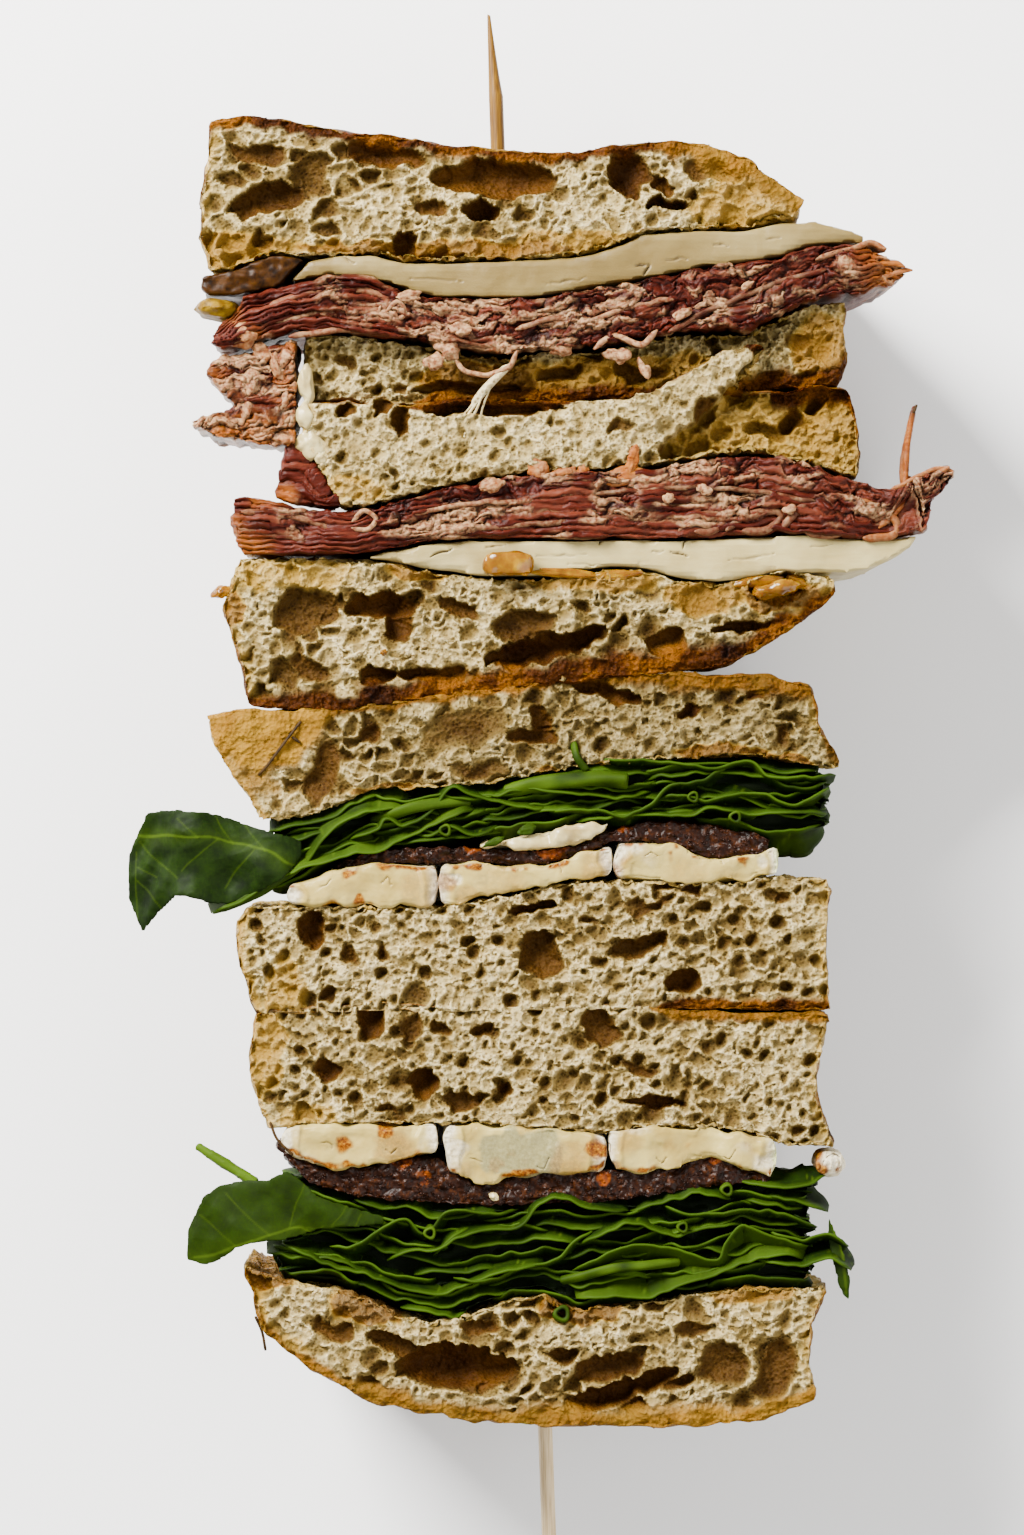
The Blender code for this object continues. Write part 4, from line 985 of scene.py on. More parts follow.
def smooth_path(points, spacing):
    """Points this far apart on a smooth curve through the given ones."""
    points = np.asarray(points, float)
    before = np.concatenate([2 * points[:1] - points[1:2], points, 2 * points[-1:] - points[-2:-1]])
    steps = 12
    t = np.linspace(0, 1, steps, endpoint=False)[:, None]
    curve = []
    for a, b, c, d in zip(before, before[1:], before[2:], before[3:]):
        bend = (2 * a - 5 * b + 4 * c - d) * t ** 2 + (3 * b - a - 3 * c + d) * t ** 3
        curve.append(0.5 * (2 * b + (c - a) * t + bend))
    curve = np.concatenate(curve + [points[-1:]])
    length = np.concatenate([[0], np.cumsum(np.linalg.norm(np.diff(curve, axis=0), axis=1))])
    at = np.linspace(0, length[-1], max(int(length[-1] / spacing), 3) + 1)
    return np.stack([np.interp(at, length, column) for column in curve.T], axis=1)


def thin_sheet(path, inward, deep, thick, lean=0.0, wave=0.0, seed=0, rows=5):
    """(points, faces, depth from the front edge) of a thin slice whose front edge follows a path.

    It runs inward by deep, moves across by lean on the way, and its two faces meet in a rounded edge.
    """
    path = np.asarray(path, float)
    inward = np.broadcast_to(inward, path.shape)
    tangent = np.gradient(path, axis=0)
    across = np.cross(tangent, inward)
    across /= np.linalg.norm(across, axis=1)[:, None] + 1e-9
    half = thick / 2
    down = np.concatenate([np.linspace(deep, half, rows), [0.35 * half, 0.0, 0.35 * half],
                           np.linspace(half, deep, rows)])
    side = np.concatenate([np.full(rows, -half), [-0.75 * half, 0.0, 0.75 * half], np.full(rows, half)])
    ends = from_ends(len(path))
    taper = np.sqrt(np.clip(ends / 3.0, 0.08, 1))
    shrunk = np.sqrt(np.clip((ends + 1) / 9.0, 0.08, 1))
    tall = 1 - 0.25 * np.abs(noise(np.stack([path[:, 0], path[:, 1]], axis=1), 6.0, seed))
    points = np.empty((len(path), len(down), 3))
    for n, (d, s) in enumerate(zip(down, side)):
        drift = lean * (d / deep) ** 1.3
        at = np.stack([path[:, 0] + path[:, 2], path[:, 1] + 3.1 * d], axis=1)
        sway = wave * noise(at, 4.0, seed + 1) * d / deep
        aside = s * taper + (drift + sway) * shrunk
        points[:, n] = path + inward * (d * (tall * shrunk)[:, None]) + across * aside[:, None]
    faces = grid_faces(len(path), len(down), True)
    first, last = np.arange(len(down)), np.arange(len(down)) + (len(path) - 1) * len(down)
    caps = []
    count = len(down)
    for n in range(count // 2 - 1):
        caps.append((first[n], first[n + 1], first[count - 2 - n], first[count - 1 - n]))
        caps.append((last[count - 1 - n], last[count - 2 - n], last[n + 1], last[n]))
    middle = count // 2
    caps.append((first[middle - 1], first[middle], first[middle + 1]))
    caps.append((last[middle + 1], last[middle], last[middle - 1]))
    return points.reshape(-1, 3), [tuple(face) for face in faces] + caps, np.tile(down, len(path))


def lump_parts(centre, half, seed, rough=0.25, tilt=0.0, rounds=3):
    """(points, faces, zeros) of an uneven rounded lump."""
    ball = bmesh.new()
    bmesh.ops.create_icosphere(ball, subdivisions=rounds, radius=1)
    points = np.array([v.co for v in ball.verts])
    faces = [tuple(v.index for v in face.verts) for face in ball.faces]
    ball.free()
    sides = np.stack([noise(np.arange(12)[:, None] * 3.7, 1.0, seed + n) for n in (2, 3, 4)], axis=1)
    sides /= np.linalg.norm(sides, axis=1)[:, None] + 1e-9
    flats = 0.78 / np.maximum(points @ sides.T, 0.3)
    points = points * np.minimum(1, flats.min(axis=1))[:, None]
    bumps = rough * noise(points + seed, 0.9, seed) + 0.5 * rough * noise(points + seed, 0.35, seed + 1)
    points = points * (1 + bumps)[:, None]
    turn = np.array(Matrix.Rotation(math.radians(tilt), 3, "Z"))
    return (points * half) @ turn.T + centre, faces, np.zeros(len(points))


def gathered(parts):
    """Several (points, faces, values) as one."""
    points, faces, values, start = [], [], [], 0
    for part_points, part_faces, part_values in parts:
        points.append(part_points)
        faces += [tuple(int(i) + start for i in face) for face in part_faces]
        values.append(part_values)
        start += len(part_points)
    return np.concatenate(points), faces, np.concatenate(values)


def loose_piece(name, parts, material, slot):
    """(piece, points, values) of small forms that make one piece, none of it above the solids."""
    points, faces, values = gathered(parts)
    points[:, 2] = np.minimum(points[:, 2], HIGHEST)
    piece = piece_from(name, points, faces, material, None, slot)
    shape = bmesh.new()
    shape.from_mesh(piece.data)
    bmesh.ops.recalc_face_normals(shape, faces=shape.faces)
    shape.to_mesh(piece.data)
    shape.free()
    return piece, points, values


# Loose ham: the curls, tatters and knobs of fat that stand out of the two stacks. A slice's edge is a
# path across the cut face, x and y in mm, with the height of its edge, its depth and its fat share.
DOWN = (0, 0, -1)
HAM_CURLS = (
    # points, height, depth, thickness, lean, fat, lean colour
    (((-52, 92.6), (-44, 95.3), (-34, 95.8), (-29.5, 94.2), (-30.5, 91.8), (-36, 91.8), (-42, 91.0)),
     58.6, 9, 1.5, 0.5, 0.25, 0.3),
    (((-51, 89.5), (-42, 91.7), (-33, 92.9), (-28, 93.2)), 58.3, 8, 0.9, -0.4, 0.45, 0.9),
    (((-29.5, 91.5), (-27.3, 93.4), (-25.9, 91.4), (-28.2, 90.0), (-31, 90.6), (-30.5, 92.6)), 59.0, 7, 0.8,
     0.2, 0.75, 0.2),
    (((-48, 86.8), (-40, 88.0), (-33, 88.3), (-27.5, 90.0)), 58.4, 8, 1.1, 0.6, 0.35, 0.4),
    (((-16.5, 82.4), (-14.5, 80.5), (-10.5, 79.8), (-6.5, 81.0), (-4.6, 84.0)), 58.2, 6, 0.9, 0.2, 0.95, 0.0),
    (((24, 87.5), (30, 91), (38, 94.5), (46, 97.4), (54, 99.5)), 58.6, 7, 1.0, 0.5, 0.15, 0.8),
    (((50, 94.5), (56, 97.5), (62, 99.8), (66.5, 101.0), (69, 100.2)), 58.2, 9, 1.1, 0.8, 0.1, 0.5),
    (((52, 101.5), (58, 103.5), (62.5, 104.6), (65.5, 103.4)), 58.4, 8, 1.0, -0.8, 0.45, 0.3),
    (((55, 96), (60, 97), (65, 98.4), (70.5, 99.6)), 57.6, 9, 1.0, 1.0, 0.2, 0.5),
    (((10, 84.5), (14, 87.0), (19, 85.4), (22, 88.2)), 59.0, 6, 1.1, 0.4, 0.8, 0.2),
    (((-5, 88), (2, 90.2), (9, 89.8), (17, 92.4), (25, 94)), 58.9, 6, 1.0, 0.6, 0.5, 0.5),
    (((-36, 51.5), (-33.6, 53.8), (-31.4, 52.2), (-33, 50.2), (-36.5, 50.6)), 59.2, 7, 0.9, 0.2, 0.8, 0.3),
    (((-57, 53.5), (-48, 53.0), (-40, 50.5), (-34, 48.0)), 58.6, 8, 1.3, 0.6, 0.3, 0.7),
    (((-57.5, 50.5), (-50, 49.2), (-42, 47.6), (-36, 46.6)), 58.2, 8, 1.2, 0.5, 0.15, 0.9),
    (((26, 49.8), (30, 53), (35, 52.6), (33, 50.2), (29, 49.7)), 58.3, 7, 1.3, 0.3, 0.3, 0.4),
    (((35, 49.9), (40, 53.6), (45.5, 53.0), (43, 50.5), (38, 49.9)), 58.3, 7, 1.4, 0.3, 0.2, 0.5),
    (((45.5, 50.2), (51, 55.4), (57.5, 52.4), (56, 49.4), (50, 49.8)), 58.4, 8, 1.5, 0.3, 0.2, 0.6),
    (((56.5, 49.6), (60, 55.5), (67, 52.2), (66.5, 49.0), (61, 48.8)), 58.3, 8, 1.5, 0.4, 0.2, 0.5),
    (((64, 50.5), (68, 54.6), (72.5, 59.0), (77.5, 62.0)), 58.0, 9, 1.2, 1.0, 0.1, 0.4),
    (((66, 57.5), (70.5, 59.8), (75, 61.8), (78.4, 61.2)), 57.6, 8, 1.0, -0.8, 0.35, 0.3),
    (((10, 57), (20, 57.8), (30, 58.2), (40, 57.5), (52, 55.5)), 58.6, 6, 0.9, 0.5, 0.25, 0.8),
    (((-24, 53), (-14, 55.2), (-4, 55.6), (6, 56.8)), 58.8, 6, 0.9, 0.6, 0.45, 0.5),
    (((-20, 50.5), (-8, 50.8), (2, 51.6), (12, 52.4), (22, 52.2)), 58.5, 6, 1.0, -0.4, 0.3, 0.7),
    (((69.3, 58), (69.8, 66), (71, 74)), 54.6, 3, 1.1, 0.2, 0.1, 0.2),
)
HAM_KNOBS = (
    # centre x, y, z; half sizes; tilt; fat; orange
    ((-56.5, 87.2, 57.2), (3.8, 2.6, 2.2), 10, 0.55, 0.8),
    ((-53, 84.2, 56.8), (2.6, 1.8, 1.8), -20, 0.5, 0.7),
    ((-20.5, 82.2, 57.6), (2.3, 1.5, 1.6), 15, 1.0, 0.0),
    ((-17.5, 84.4, 57.8), (2.2, 1.6, 1.5), -10, 0.85, 0.1),
    ((-15.5, 88.2, 58.6), (1.9, 1.4, 1.1), 0, 0.9, 0.0), ((-25, 94.4, 58.4), (2.6, 1.1, 1.0), 10, 0.85, 0.0),
    ((14.5, 83.6, 57.4), (2.6, 1.6, 1.6), -15, 0.8, 0.1), ((19.5, 80.7, 57.4), (0.9, 2.0, 1.0), 20, 0.9, 0.0),
    ((3.5, 84.6, 57.8), (2.2, 1.2, 1.3), 0, 0.7, 0.2), ((27, 91.2, 58.6), (1.7, 0.9, 0.9), 20, 0.8, 0.0),
    ((39, 96.4, 58.5), (1.4, 0.8, 0.8), 30, 0.8, 0.0), ((-1, 62.0, 57.4), (1.9, 2.2, 0.9), 20, 0.3, 0.8),
    ((4.8, 61.0, 57.4), (2.6, 1.3, 0.9), 15, 0.25, 0.8), ((7.8, 61.6, 57.3), (1.5, 1.7, 0.8), -20, 0.2, 0.9),
    ((15.6, 60.6, 57.8), (3.6, 1.6, 0.8), 22, 0.15, 0.9),
    ((17.2, 63.6, 57.9), (1.3, 3.4, 0.8), -20, 0.1, 1.0),
    ((31, 57.6, 58.8), (1.5, 1.0, 0.8), 0, 0.9, 0.0), ((-9.5, 58.6, 58.4), (2.6, 1.3, 1.1), 15, 0.6, 0.5),
    ((47, 53.8, 58.9), (1.3, 0.9, 0.8), 0, 0.9, 0.0), ((24, 56.2, 58.9), (1.2, 0.9, 0.8), 0, 0.85, 0.1),
    ((-60, 81, 55.5), (2.2, 2.6, 2.2), 20, 0.75, 0.4), ((-55, 78.5, 56.6), (2.4, 2.8, 1.9), -15, 0.85, 0.2),
    ((-50.5, 81.5, 57), (1.2, 3.2, 1.4), 12, 0.6, 0.4), ((-48.5, 74.5, 57), (1.1, 2.6, 1.3), -8, 0.75, 0.3),
    ((-57, 73, 56.5), (2.4, 2.6, 1.7), 0, 0.6, 0.3), ((-62, 69.6, 56), (3.0, 1.2, 1.4), -18, 0.2, 0.9),
)

parts, fats, leans, oranges = [], [], [], []
for n, (points, height, deep, thick, lean, fat, dark) in enumerate(HAM_CURLS):
    path = smooth_path([(x, y, height) for x, y in points], 0.45)
    path[:, 2] += 0.5 * noise(path[:, :2], 5.0, 500 + n)
    path[:, 1] += 0.25 * noise(path[:, :2], 2.2, 520 + n)
    part = thin_sheet(path, DOWN, deep, thick, lean, 0.5, 540 + n)
    parts.append(part)
    edge = np.clip(1 - part[2] / 2.5, 0, 1)
    fats.append(np.clip(fat * (0.6 + 0.4 * edge) + 0.3 * noise(part[0], 2.0, 560 + n), 0, 1))
    leans.append(np.clip(dark + 0.3 * noise(part[0], 3.0, 580 + n), 0, 1))
    outer = rise(np.abs(part[0][:, 0]), 52, 66)
    oranges.append(np.clip(outer * (0.6 + 0.4 * noise(part[0], 2.5, 600 + n)), 0, 1))
for n, (centre, half, tilt, fat, orange_share) in enumerate(HAM_KNOBS):
    part = lump_parts(np.array(centre), np.array(half), 620 + n, 0.45, tilt, 4)
    parts.append(part)
    fats.append(np.clip(fat + 0.35 * noise(part[0], 1.2, 640 + n), 0, 1))
    leans.append(np.full(len(part[0]), 0.3))
    oranges.append(np.clip(orange_share + 0.3 * noise(part[0], 1.4, 660 + n), 0, 1))
loose_ham, points, depth = loose_piece("loose_ham", parts, ham_meat, "ham")
mark(loose_ham, "fat", np.concatenate(fats))
mark(loose_ham, "lean", np.concatenate(leans))
mark(loose_ham, "orange", np.concatenate(oranges))
# Painted shade down the curls' depth; the shred's tip is dark in its own colour
dark_tip = rise(points[:, 1], 70.5, 73.5) * (points[:, 0] > 66) * (points[:, 2] < 56)
mark(loose_ham, "gap", np.maximum(0.85 * rise(depth, 2.0, 7.0), 0.8 * dark_tip))

# The wet things between the layers: an amber jelly cube and thin jam under the lower cheese, a runny white
# dressing down the left end of the second sandwich, and the soft white spread under the upper spinach.
# Each is poured or pressed there, so it is rounded, glossy and lets some light through.
amber, shader, add = new_material("amber_jelly")
where = add("TexCoord").outputs["Object"]
cloud = tones(add, where, 330, 4)
shader.inputs["Transmission Weight"].default_value = 0.45
let_light_in(shader, 0.6, (1.0, 0.5, 0.1), 2.0, 0.25)
colour = ramp(add, cloud, (0.3, (0.13, 0.045, 0.0006)), (0.55, (0.31, 0.130, 0.0006)),
              (0.75, (0.54, 0.30, 0.002)))
finish(amber, shader, add, colour, 0.12, ((cloud, 0.4, 0.35),))

white_sauce, shader, add = new_material("white_spread")
where = add("TexCoord").outputs["Object"]
cloud = tones(add, where, 240, 4)
pits = tones(add, where, 1500, 3)
let_light_in(shader, 0.4, (1.0, 0.85, 0.6), 1.0, 0.3)
colour = ramp(add, cloud, (0.3, (0.33, 0.24, 0.085)), (0.65, (0.53, 0.45, 0.22)))
finish(white_sauce, shader, add, colour, 0.28, ((cloud, 0.4, 0.4), (pits, 0.3, 0.12)))

for node, material, slot, swell in (("jelly_2", amber, "jelly", 0.35), ("jam_2", amber, "jelly", 0.5),
                                    ("cream_3", white_sauce, "cream", 0.7)):
    piece = rebuilt(node + "_soft", node, 0.7, 2)
    places, outward = places_of(piece)
    bulge = swell * noise(places, 2.8, 700) + 0.4 * swell * noise(places, 1.1, 701) - 0.15
    places = places + outward * bulge[:, None]
    places[:, 2] = np.minimum(places[:, 2], HIGHEST)
    move_to(piece, places)
    piece.data.materials.append(material)
    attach(piece, "root")
    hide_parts(node)

POURED = {  # centre x, y, z, half sizes and tilt of every drop
    "thin_jam": (amber, "jelly", (
        ((4.5, 42.0, 56.8), (6.5, 0.9, 0.9), -6), ((13.5, 41.6, 56.6), (5.0, 1.2, 0.8), 4),
        ((41, 40.6, 56.0), (5.0, 1.1, 0.5), 8), ((49, 40.6, 55.0), (2.2, 1.2, 0.5), -20),
        ((-61, 38.5, 54.0), (1.8, 1.4, 1.4), 20), ((-59.5, 35.2, 53.5), (1.5, 2.0, 1.3), 0),
        ((-57.8, 32.2, 54.0), (1.3, 1.2, 1.0), 0), ((-30, 27.0, 56.8), (0.8, 0.6, 0.6), 10),
    )),
    "dressing": (white_sauce, "cream", (
        ((-44.6, 77.8, 57.0), (1.5, 4.2, 1.5), 4), ((-45.0, 72.0, 57.2), (1.9, 3.0, 1.6), -8),
        ((-43.9, 66.8, 57.0), (2.7, 2.7, 1.7), 0), ((-41.6, 64.0, 57.4), (1.2, 1.5, 1.0), 30),
        ((-3.5, 70.0, 56.9), (0.7, 0.5, 0.5), 0), ((-9, -76.4, 57.6), (1.1, 0.8, 0.7), -30),
    )),
}
for n, (name, (material, slot, drops)) in enumerate(POURED.items()):
    parts = [lump_parts(np.array(centre), np.array(half), 720 + 20 * n + k, 0.3, tilt, 4)
             for k, (centre, half, tilt) in enumerate(drops)]
    loose_piece(name, parts, material, slot)

# The spinach: many fresh flat leaves laid down together and cut through with the sandwich, so their rims
# run across the cut face as thin bright green lines over dark gaps, with a few cut stems among them.
# The heap's solid, drawn in a little and nearly black, is the shade between the leaves.
LEAF_RIMS = {  # the rims that stand out in the photograph, x and y in mm along each
    "spinach_3": (
        ((10.2, 5.9), (13.8, 6.6), (20.9, 6.4), (27.9, 5.8), (33.2, 5.1), (39.4, 6.4), (43.0, 3.7),
         (49.2, 3.3), (56.2, 3.7)),
        ((-45.9, -14.8), (-39.3, -6.4), (-31.3, -2.9), (-24.2, -2.9)),
        ((-36.6, -8.7), (-31.3, -6.9), (-29.6, -4.7), (-26.0, -6.0), (-21.6, -3.8), (-18.1, 0.6),
         (-16.3, 1.5), (-13.6, 0.2), (-7.4, -1.6), (1.4, -3.1)),
        ((1.4, -3.4), (10.2, -2.9), (15.6, -4.2), (20.9, -1.6), (24.4, 1.5), (30.6, 2.8), (35.9, 5.9)),
        ((-63.0, -22.6), (-56.1, -19.8), (-47.2, -14.8), (-41.1, -13.1), (-35.7, -11.3), (-30.4, -10.9),
         (-26.9, -8.7), (-21.6, -6.4), (-17.2, -4.2), (-12.7, -2.9)),
        ((6.7, -5.1), (14.7, -4.2), (21.7, -3.8), (27.9, -4.2), (32.4, -2.5), (39.4, -3.8), (45.6, -3.3),
         (54.5, -3.8)),
        ((21.7, -1.1), (26.2, -0.1), (31.5, -1.1), (36.8, -0.1), (42.1, 0.2), (48.3, -2.0), (54.9, 1.5)),
        ((-25.1, -7.3), (-20.7, -7.8), (-17.2, -6.0), (-12.7, -7.8), (-8.3, -6.0)),
        ((-5.7, 2.0), (1.4, 0.6), (8.5, -0.1), (15.6, -0.7), (20.9, 0.6)),
        ((42.1, 4.2), (45.6, 2.0), (50.1, 1.1), (54.5, 2.2)),
    ),
    "spinach_4": (
        ((-40.3, -86.1), (-35.2, -85.7), (-31.9, -83.6), (-29.4, -81.9), (-26.0, -80.7), (-21.9, -83.6),
         (-18.5, -79.8), (-14.3, -79.0), (-8.5, -79.8), (-4.3, -79.0)),
        ((-29.4, -89.0), (-25.2, -86.9), (-20.2, -86.5), (-15.2, -84.0), (-10.2, -82.8), (-4.3, -82.3),
         (-0.1, -77.7), (4.1, -76.7), (9.1, -78.6), (16.6, -79.4)),
        ((-20.6, -87.8), (-17.7, -84.8), (-13.5, -82.3)),
        ((-16.8, -92.0), (-10.2, -92.4), (-3.5, -89.9), (2.4, -88.6), (6.6, -84.8), (10.3, -82.8)),
        ((-49.5, -85.7), (-44.4, -87.8), (-39.4, -89.9), (-33.6, -91.1), (-28.6, -93.2), (-23.5, -94.5),
         (-18.5, -94.9), (-13.5, -92.8), (-6.8, -90.7), (0.7, -89.4)),
        ((6.6, -85.7), (11.6, -83.6), (16.6, -81.5), (21.6, -82.8), (25.8, -84.0), (31.7, -82.3),
         (38.3, -81.9)),
        ((23.3, -78.2), (28.3, -79.8), (34.2, -79.4), (39.2, -79.0), (45.0, -79.4), (52.6, -82.3)),
        ((37.5, -73.6), (44.2, -74.8), (50.1, -74.4), (54.2, -72.7)),
        ((6.6, -96.1), (13.3, -95.3), (19.9, -95.7), (26.6, -93.2), (33.3, -91.1), (40.0, -88.6),
         (46.7, -87.4), (50.1, -88.6)),
        ((5.7, -90.7), (9.9, -88.6), (14.9, -86.1), (21.6, -85.7), (27.5, -86.9), (33.3, -88.6),
         (35.0, -85.3), (38.3, -81.9), (43.4, -83.6), (50.9, -86.1)),
        ((-26.9, -97.8), (-21.9, -98.2), (-16.8, -99.5), (-14.3, -98.6)),
        ((42.5, -76.5), (48.4, -77.3), (54.7, -79.6)),
        ((43.0, -83.2), (49.5, -84.6), (54.5, -83.6), (58.6, -86.2)),
        ((41.0, -88.4), (49.0, -89.6), (55.0, -88.2), (59.0, -90.8)),
    ),
}
OPEN_LEAVES = {"spinach_3": (1, 4), "spinach_4": (8, 9)}  # rims whose leaf is turned towards the camera
FILL_ROWS = {"spinach_3": 6, "spinach_4": 7}  # rows of leaves between those
TURNED_LEAF = (7.0, 5.0, 0.30)  # depth and lean in mm, and how pale, of the leaves that are turned so
FLAT_LEAF = (9.0, 3.2, 0.03)
LEAF_THICKNESS = 0.55  # mm
LEAF_STEP = 0.5
RIM_HEIGHT = 56.2

spinach_leaf, shader, add = new_material("spinach_leaf")
where = add("TexCoord").outputs["Object"]
rim = marked(add, "rim")
vein = marked(add, "vein")
pale = marked(add, "pale")
shade = marked(add, "shade")
mottle = tones(add, where, 260, 4, 0.6)
netting = add("TexVoronoi", {"Vector": where, "Scale": 900}, feature="DISTANCE_TO_EDGE").outputs["Distance"]
colour = ramp(add, mottle, (0.3, (0.0016, 0.0048, 0.0003)), (0.7, (0.0064, 0.0170, 0.0006)))
net = ramp(add, netting, (0.0, (1.5, 1.35, 1.3)), (0.12, (1.0, 1.0, 1.0)))
colour = blend_colours(add, 0.5, colour, net, "MULTIPLY")
colour = blend_colours(add, pale, colour, (0.047, 0.090, 0.003))
colour = blend_colours(add, vein, colour, (0.040, 0.072, 0.003))
# Painted highlight: the leaves' rims are painted bright green along their cut edges
colour = blend_colours(add, rim, colour, (0.032, 0.068, 0.0022))
colour = blend_colours(add, shade, colour, (0.0020, 0.0045, 0.0005))
let_light_in(shader, 0.1, (0.4, 1.0, 0.15), 0.4, 0.06)
finish(spinach_leaf, shader, add, colour, 0.6, ((mottle, 0.15, 0.2), (netting, 0.15, 0.1)))


def edge_lines(places, front, axis, reach):
    """The heap's lower and upper edge on a side that faces out, as a line to read at any place along it."""
    low, high = outline(places[front], np.ones(front.sum(), bool), axis, reach)
    order = np.argsort(places[front, axis])
    return places[front, axis][order], low[order], high[order]


def shown_leaves(node, seed):
    """(front edge, way in, depth, lean, how pale, number) of each leaf whose rim the photograph shows."""
    for n, points in enumerate(LEAF_RIMS[node]):
        path = smooth_path([(x, y, RIM_HEIGHT) for x, y in points], LEAF_STEP)
        ends = from_ends(len(path)) * LEAF_STEP
        path[:, 2] += 1.0 + 0.9 * noise(path[:, :2], 9.0, seed + n) - 3.0 * np.exp(-ends / 1.6)
        path[:, 1] += 0.22 * noise(path[:, :1], 1.7, seed + 20 + n)
        deep, lean, pale = TURNED_LEAF if n in OPEN_LEAVES[node] else FLAT_LEAF
        yield path, DOWN, deep, lean * (1 if n % 3 else -1), pale, n


def filling_leaves(row, share, lines, low_x, high_x, seed):
    """One row of leaves between them, from left to right over the cut face."""
    start = low_x + 3 * math.sin(5 * row)
    k = 0
    while start < high_x - 6:
        length = 16 + 17 * abs(math.sin(3.7 * row + 2.1 * k))
        x = np.arange(start, min(start + length, high_x + 0.8 * math.sin(row)), LEAF_STEP)
        y_low, y_high = (np.interp(x, lines[0], line) for line in lines[1:])
        wave = 1.1 * noise(x[:, None], 7.0, seed + 40 + row + 20 * k)
        wave += 0.4 * noise(x[:, None], 2.2, seed + 60 + row + k)
        y = np.clip(y_low + share * (y_high - y_low) + wave, y_low + 0.3, y_high - 0.3)
        z = RIM_HEIGHT - 0.6 + 0.9 * noise(x[:, None], 8.0, seed + 80 + row + k)
        z -= 2.5 * np.exp(-from_ends(len(x)) * LEAF_STEP / 1.5)
        lean = (2.4 + 3.6 * abs(math.sin(2.3 * row + k))) * (1 if (row + k) % 2 else -1)
        yield np.stack([x, y, z], axis=1), DOWN, 8.0, lean, 0.0, 20 + 10 * row + k
        start += length * 0.86
        k += 1


def outer_leaves(row, share, lines, low_x, high_x, low_z, seed):
    """The rims of one row on the heap's left and right ends and on its back."""
    for edge_x, turn in ((low_x, 1), (high_x, -1)):
        z = np.arange(low_z + 1, RIM_HEIGHT - 1, 0.8)[::turn]
        y_low, y_high = (np.interp(edge_x, lines[0], line) for line in lines[1:])
        y = y_low + share * (y_high - y_low) + 0.6 * noise(z[:, None], 8.0, seed + 90 + row + turn)
        x = edge_x - turn * (0.4 + 1.1 * noise(z[:, None], 6.0, seed + 95 + row + turn))
        yield np.stack([x, y, z], axis=1), (turn, 0, 0), 7.0, 1.2, 0.0, 150 + row
    x = np.arange(low_x + 1, high_x - 1, 1.0)[::-1]
    y_low, y_high = (np.interp(x, lines[0], line) for line in lines[1:])
    y = y_low + share * (y_high - y_low) + 0.8 * noise(x[:, None], 9.0, seed + 170 + row)
    z = low_z + 0.6 + 0.6 * noise(x[:, None], 7.0, seed + 180 + row)
    yield np.stack([x, y, z], axis=1), (0, 0, 1), 6.0, 1.0, 0.0, 190 + row


def heap_of_leaves(node):
    seed = 800 + 100 * list(LEAF_RIMS).index(node)
    core = rebuilt(node + "_shade", node, 1.2, 1)
    places, outward = places_of(core)
    lines = edge_lines(places, (outward[:, 2] > 0.4) & (places[:, 2] > RIM_HEIGHT - 4), 0, 2.0)
    low_x, high_x = places[:, 0].min() + 1.5, places[:, 0].max() - 1.5
    low_z = places[:, 2].min() + 1.0
    drawn_in = 0.9 + 0.7 * noise(places * (0.4, 1.5, 0.4), 2.2, seed)
    sunk = 2.2 * rise(outward[:, 2], 0.3, 0.8) * rise(places[:, 2], 48, 52)
    new = places - outward * drawn_in[:, None]
    new[:, 2] = np.maximum(new[:, 2] - sunk, 1)
    move_to(core, new)
    mark(core, "shade", np.full(len(new), 0.88))
    core.data.materials.append(spinach_leaf)
    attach(core, "root")
    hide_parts(node)

    leaves = list(shown_leaves(node, seed))
    for row in range(FILL_ROWS[node]):
        share = (row + 0.5) / FILL_ROWS[node]
        leaves += filling_leaves(row, share, lines, low_x, high_x, seed)
        leaves += outer_leaves(row, share, lines, low_x, high_x, low_z, seed)
    parts, rims, pales, veins = [], [], [], []
    for path, inward, deep, lean, pale, n in leaves:
        part = thin_sheet(path, inward, deep, LEAF_THICKNESS, lean, 0.7, seed + 3 * n, 6)
        depth = part[2]
        along = np.repeat(np.arange(len(path)), len(depth) // len(path)) * LEAF_STEP
        fan = np.abs(np.sin(0.55 * along + 0.35 * depth + n))
        parts.append(part)
        # Painted highlight along each leaf's front edge, fading within half a millimetre
        rims.append(np.clip(np.exp(-depth / 0.45) * (0.65 + 0.5 * noise(part[0], 6.0, seed + n)), 0, 1))
        pales.append(np.clip(pale + 0.25 * noise(part[0], 5.0, seed + 5 * n), 0, 0.8))
        veins.append(0.55 * rise(-fan, -0.10, -0.02) * rise(depth, 0.6, 1.5))
    heap, _, _ = loose_piece(node + "_leaves", parts, spinach_leaf, "spinach")
    mark(heap, "rim", np.concatenate(rims))
    mark(heap, "pale", np.concatenate(pales))
    mark(heap, "vein", np.concatenate(veins))


for node in LEAF_RIMS:
    heap_of_leaves(node)

